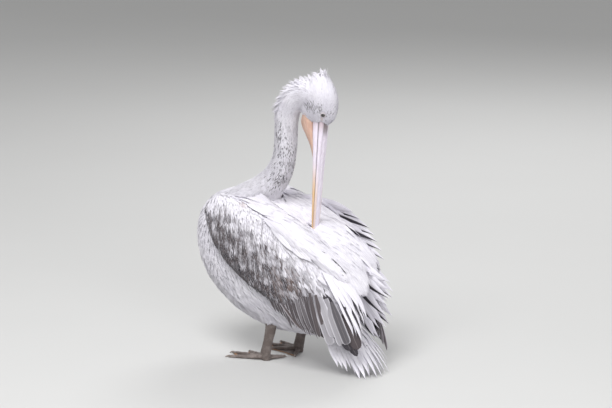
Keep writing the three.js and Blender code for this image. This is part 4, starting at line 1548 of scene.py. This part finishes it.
def lamp(name, place, size, power):
    """A round lamp that shines on the bird."""
    light = bpy.data.lights.new(name, "AREA")
    light.shape, light.size, light.energy = "DISK", size, power
    thing = bpy.data.objects.new(name, light)
    thing.location = place
    thing.rotation_euler = (Vector(LAMPS_AIM) - Vector(place)).to_track_quat("-Z", "Y").to_euler()
    bpy.context.collection.objects.link(thing)


def camera():
    """The camera, turned so that the spot between the feet comes out at its pixel."""
    turn, tilt = math.radians(VIEW_AZIMUTH), math.radians(VIEW_ELEVATION)
    level = math.cos(tilt)
    back = np.array((math.cos(turn) * level, math.sin(turn) * level, math.sin(tilt)))
    right = np.array((-math.sin(turn), math.cos(turn), 0))
    high = np.cross(back, right)
    aim = right * (FRAME_SIZE[0] / 2 - HOME_PIXEL[0]) + high * (HOME_PIXEL[1] - FRAME_SIZE[1] / 2)
    place = (aim * MM_PER_PIXEL + back * VIEW_DISTANCE) * MM + HOME
    data = bpy.data.cameras.new("camera")
    data.sensor_width, data.clip_end = 36.0, 100.0
    data.lens = VIEW_DISTANCE / MM_PER_PIXEL / FRAME_SIZE[0] * data.sensor_width
    thing = bpy.data.objects.new("camera", data)
    axes = Matrix((right, high, back)).transposed()
    thing.matrix_world = Matrix.Translation(Vector(place)) @ axes.to_4x4()
    bpy.context.collection.objects.link(thing)
    return thing


def make_stage():
    """A plain floor, soft light from all round, three lamps and the camera."""
    look, scene = bpy.context.scene.pelican_stage, bpy.context.scene
    corners = np.array([(-1, -1, 0), (1, -1, 0), (1, 1, 0), (-1, 1, 0)]) * FLOOR_HALF / MM
    floor = build("studio_floor", corners, [np.array([[0, 1, 2, 3]])], finish_of("floor"))
    floor.data.transform(Matrix.Translation((-HOME[0], -HOME[1], -HOME[2])))
    scene.world = bpy.data.worlds.new("studio")
    scene.world.use_nodes = True
    air = scene.world.node_tree.nodes["Background"].inputs
    air["Color"].default_value, air["Strength"].default_value = AIR, look.ambient
    for name, place, size, share in LAMPS:
        lamp(name, place, size, look.key * share)
    scene.view_settings.view_transform = "Standard"
    scene.camera = camera()


# ------------------------------------------------------------------ settings


def colour_setting(name, default, description):
    """A colour that the sidebar lists."""
    return FloatVectorProperty(name=name, description=description, default=default,
                               subtype="COLOR", size=3, min=0.0, max=1.0)


class PelicanPlumageSettings(bpy.types.PropertyGroup):
    """Sizes and colours of the coat."""

    white: colour_setting("White", (0.85, 0.83, 0.89), "The palest feathers")
    shade: colour_setting("Shade", (0.73, 0.71, 0.78), "The deeper tone of the pale feathers")
    # Dark also paints the shadow in the slits between feathers, as their inner vanes.
    dark: colour_setting("Dark", (0.046, 0.042, 0.050), "The darkest feathers and inner vanes")
    brown: colour_setting("Brown", (0.115, 0.095, 0.097), "The browner of the dark feathers")
    rust: colour_setting("Rust", (0.34, 0.20, 0.13), "Stains on the wing")
    shaft: colour_setting("Shaft", (0.26, 0.23, 0.23), "The shafts of long feathers")
    spacing: FloatProperty(name="Spacing", description="Stretches the gaps between small feathers",
                           default=1.0, min=0.5, max=4.0, subtype="FACTOR")
    skin_grain: FloatProperty(name="Skin grain", description="Size of the skin mesh's cells",
                              default=0.0045, min=0.002, max=0.02, subtype="DISTANCE",
                              unit="LENGTH")


class PelicanBareSettings(bpy.types.PropertyGroup):
    """Colours of the bill, pouch, eyes and legs."""

    bill: colour_setting("Bill", (0.77, 0.69, 0.80), "The bill's horn")
    bill_pale: colour_setting("Bill, pale", (0.87, 0.81, 0.91), "Pale streaks in the horn")
    bill_base: colour_setting("Bill base", (0.47, 0.36, 0.38), "The horn next to the face")
    bill_yellow: colour_setting("Bill yellow", (0.72, 0.45, 0.17), "The bill's sides and nail")
    # Bill dark also paints the shadow at the ridge's base.
    bill_dark_and_shadow: colour_setting("Bill dark", (0.13, 0.10, 0.10), "Grooves and the ridge's base")
    pouch: colour_setting("Pouch", (0.66, 0.455, 0.36), "The throat pouch")
    pouch_deep: colour_setting("Pouch folds", (0.54, 0.35, 0.28), "The pouch between its folds")
    eye_skin: colour_setting("Eye skin", (0.62, 0.55, 0.56), "Bare skin round the eye")
    eye_lid: colour_setting("Eyelids", (0.56, 0.53, 0.56), "The lids round the eye")
    iris: colour_setting("Iris", (0.09, 0.068, 0.058), "The iris")
    iris_deep: colour_setting("Iris specks", (0.05, 0.035, 0.03), "Specks in the iris")
    leg: colour_setting("Legs", (0.140, 0.110, 0.098), "The shanks and feet")
    leg_deep: colour_setting("Legs, deep", (0.085, 0.068, 0.064), "Darker patches on the feet")
    leg_orange: colour_setting("Web edges", (0.62, 0.30, 0.12), "The outer edges of the webs")


class PelicanStageSettings(bpy.types.PropertyGroup):
    """The studio."""

    floor: colour_setting("Floor", (0.60, 0.60, 0.595), "The floor")
    key: FloatProperty(name="Key light", description="Power of the largest light",
                       default=176.0, min=0.0, unit="POWER")
    ambient: FloatProperty(name="Ambient", description="Strength of the light from all round",
                           default=0.49, min=0.0)


# ------------------------------------------------------------------ operators


class PELICAN_OT_skin(bpy.types.Operator):
    """Make the skin from the flesh of the frame"""

    bl_idname, bl_label = "pelican.skin", "Skin"

    def execute(self, context):
        make_skin()
        return {"FINISHED"}


class PELICAN_OT_head(bpy.types.Operator):
    """Cover the face, crown and nape with feathers"""

    bl_idname, bl_label = "pelican.head", "Head feathers"

    def execute(self, context):
        make_head_feathers()
        return {"FINISHED"}


class PELICAN_OT_neck(bpy.types.Operator):
    """Cover the neck with feathers"""

    bl_idname, bl_label = "pelican.neck", "Neck feathers"

    def execute(self, context):
        make_neck_feathers()
        return {"FINISHED"}


class PELICAN_OT_body(bpy.types.Operator):
    """Cover the breast, belly, back and thighs with feathers"""

    bl_idname, bl_label = "pelican.body", "Body feathers"

    def execute(self, context):
        make_body_feathers()
        return {"FINISHED"}


class PELICAN_OT_wings(bpy.types.Operator):
    """Cover the folded wings with coverts"""

    bl_idname, bl_label = "pelican.wings", "Wing coverts"

    def execute(self, context):
        make_wing_feathers()
        return {"FINISHED"}


class PELICAN_OT_shoulders(bpy.types.Operator):
    """Lay the shoulder feathers over the wings"""

    bl_idname, bl_label = "pelican.shoulders", "Shoulder feathers"

    def execute(self, context):
        make_shoulder_feathers()
        return {"FINISHED"}


class PELICAN_OT_long_feathers(bpy.types.Operator):
    """Lay the long feathers of the wings and tail"""

    bl_idname, bl_label = "pelican.long_feathers", "Long feathers"

    def execute(self, context):
        make_long_feathers()
        return {"FINISHED"}


class PELICAN_OT_bill(bpy.types.Operator):
    """Make the upper and lower bill"""

    bl_idname, bl_label = "pelican.bill", "Bill"

    def execute(self, context):
        make_bill()
        return {"FINISHED"}


class PELICAN_OT_pouch(bpy.types.Operator):
    """Make the throat pouch"""

    bl_idname, bl_label = "pelican.pouch", "Pouch"

    def execute(self, context):
        make_pouch()
        return {"FINISHED"}


class PELICAN_OT_eyes(bpy.types.Operator):
    """Make the eyes and their lids"""

    bl_idname, bl_label = "pelican.eyes", "Eyes"

    def execute(self, context):
        make_eyes()
        return {"FINISHED"}


class PELICAN_OT_legs(bpy.types.Operator):
    """Make the shanks, webbed feet and claws"""

    bl_idname, bl_label = "pelican.legs", "Legs"

    def execute(self, context):
        make_legs()
        return {"FINISHED"}


class PELICAN_OT_stage(bpy.types.Operator):
    """Set up the floor, lights and camera"""

    bl_idname, bl_label = "pelican.stage", "Stage"

    def execute(self, context):
        make_stage()
        return {"FINISHED"}


OPERATORS = (PELICAN_OT_skin, PELICAN_OT_head, PELICAN_OT_neck, PELICAN_OT_body, PELICAN_OT_wings,
    PELICAN_OT_shoulders, PELICAN_OT_long_feathers, PELICAN_OT_bill, PELICAN_OT_pouch,
    PELICAN_OT_eyes, PELICAN_OT_legs, PELICAN_OT_stage)
SETTINGS = {"pelican_plumage": PelicanPlumageSettings, "pelican_bare": PelicanBareSettings,
    "pelican_stage": PelicanStageSettings}


class PELICAN_PT_panel(bpy.types.Panel):
    """Lists the bird's settings and pieces"""

    bl_label = "Pelican"
    bl_space_type, bl_region_type, bl_category = "VIEW_3D", "UI", "Pelican"

    def draw(self, context):
        for name, group in SETTINGS.items():
            for setting in group.__annotations__:
                self.layout.prop(getattr(context.scene, name), setting)
        for operator in OPERATORS:
            self.layout.operator(operator.bl_idname)


def register():
    for name, group in SETTINGS.items():
        bpy.utils.register_class(group)
        setattr(bpy.types.Scene, name, PointerProperty(type=group))
    for each in (*OPERATORS, PELICAN_PT_panel):
        bpy.utils.register_class(each)


def unregister():
    for each in (PELICAN_PT_panel, *reversed(OPERATORS)):
        bpy.utils.unregister_class(each)
    for name, group in reversed(SETTINGS.items()):
        delattr(bpy.types.Scene, name)
        bpy.utils.unregister_class(group)


def main():
    register()
    bpy.ops.pelican.skin()
    bpy.ops.pelican.head()
    bpy.ops.pelican.neck()
    bpy.ops.pelican.body()
    bpy.ops.pelican.wings()
    bpy.ops.pelican.shoulders()
    bpy.ops.pelican.long_feathers()
    bpy.ops.pelican.bill()
    bpy.ops.pelican.pouch()
    bpy.ops.pelican.eyes()
    bpy.ops.pelican.legs()
    bpy.ops.pelican.stage()


if __name__ == "__main__":
    main()
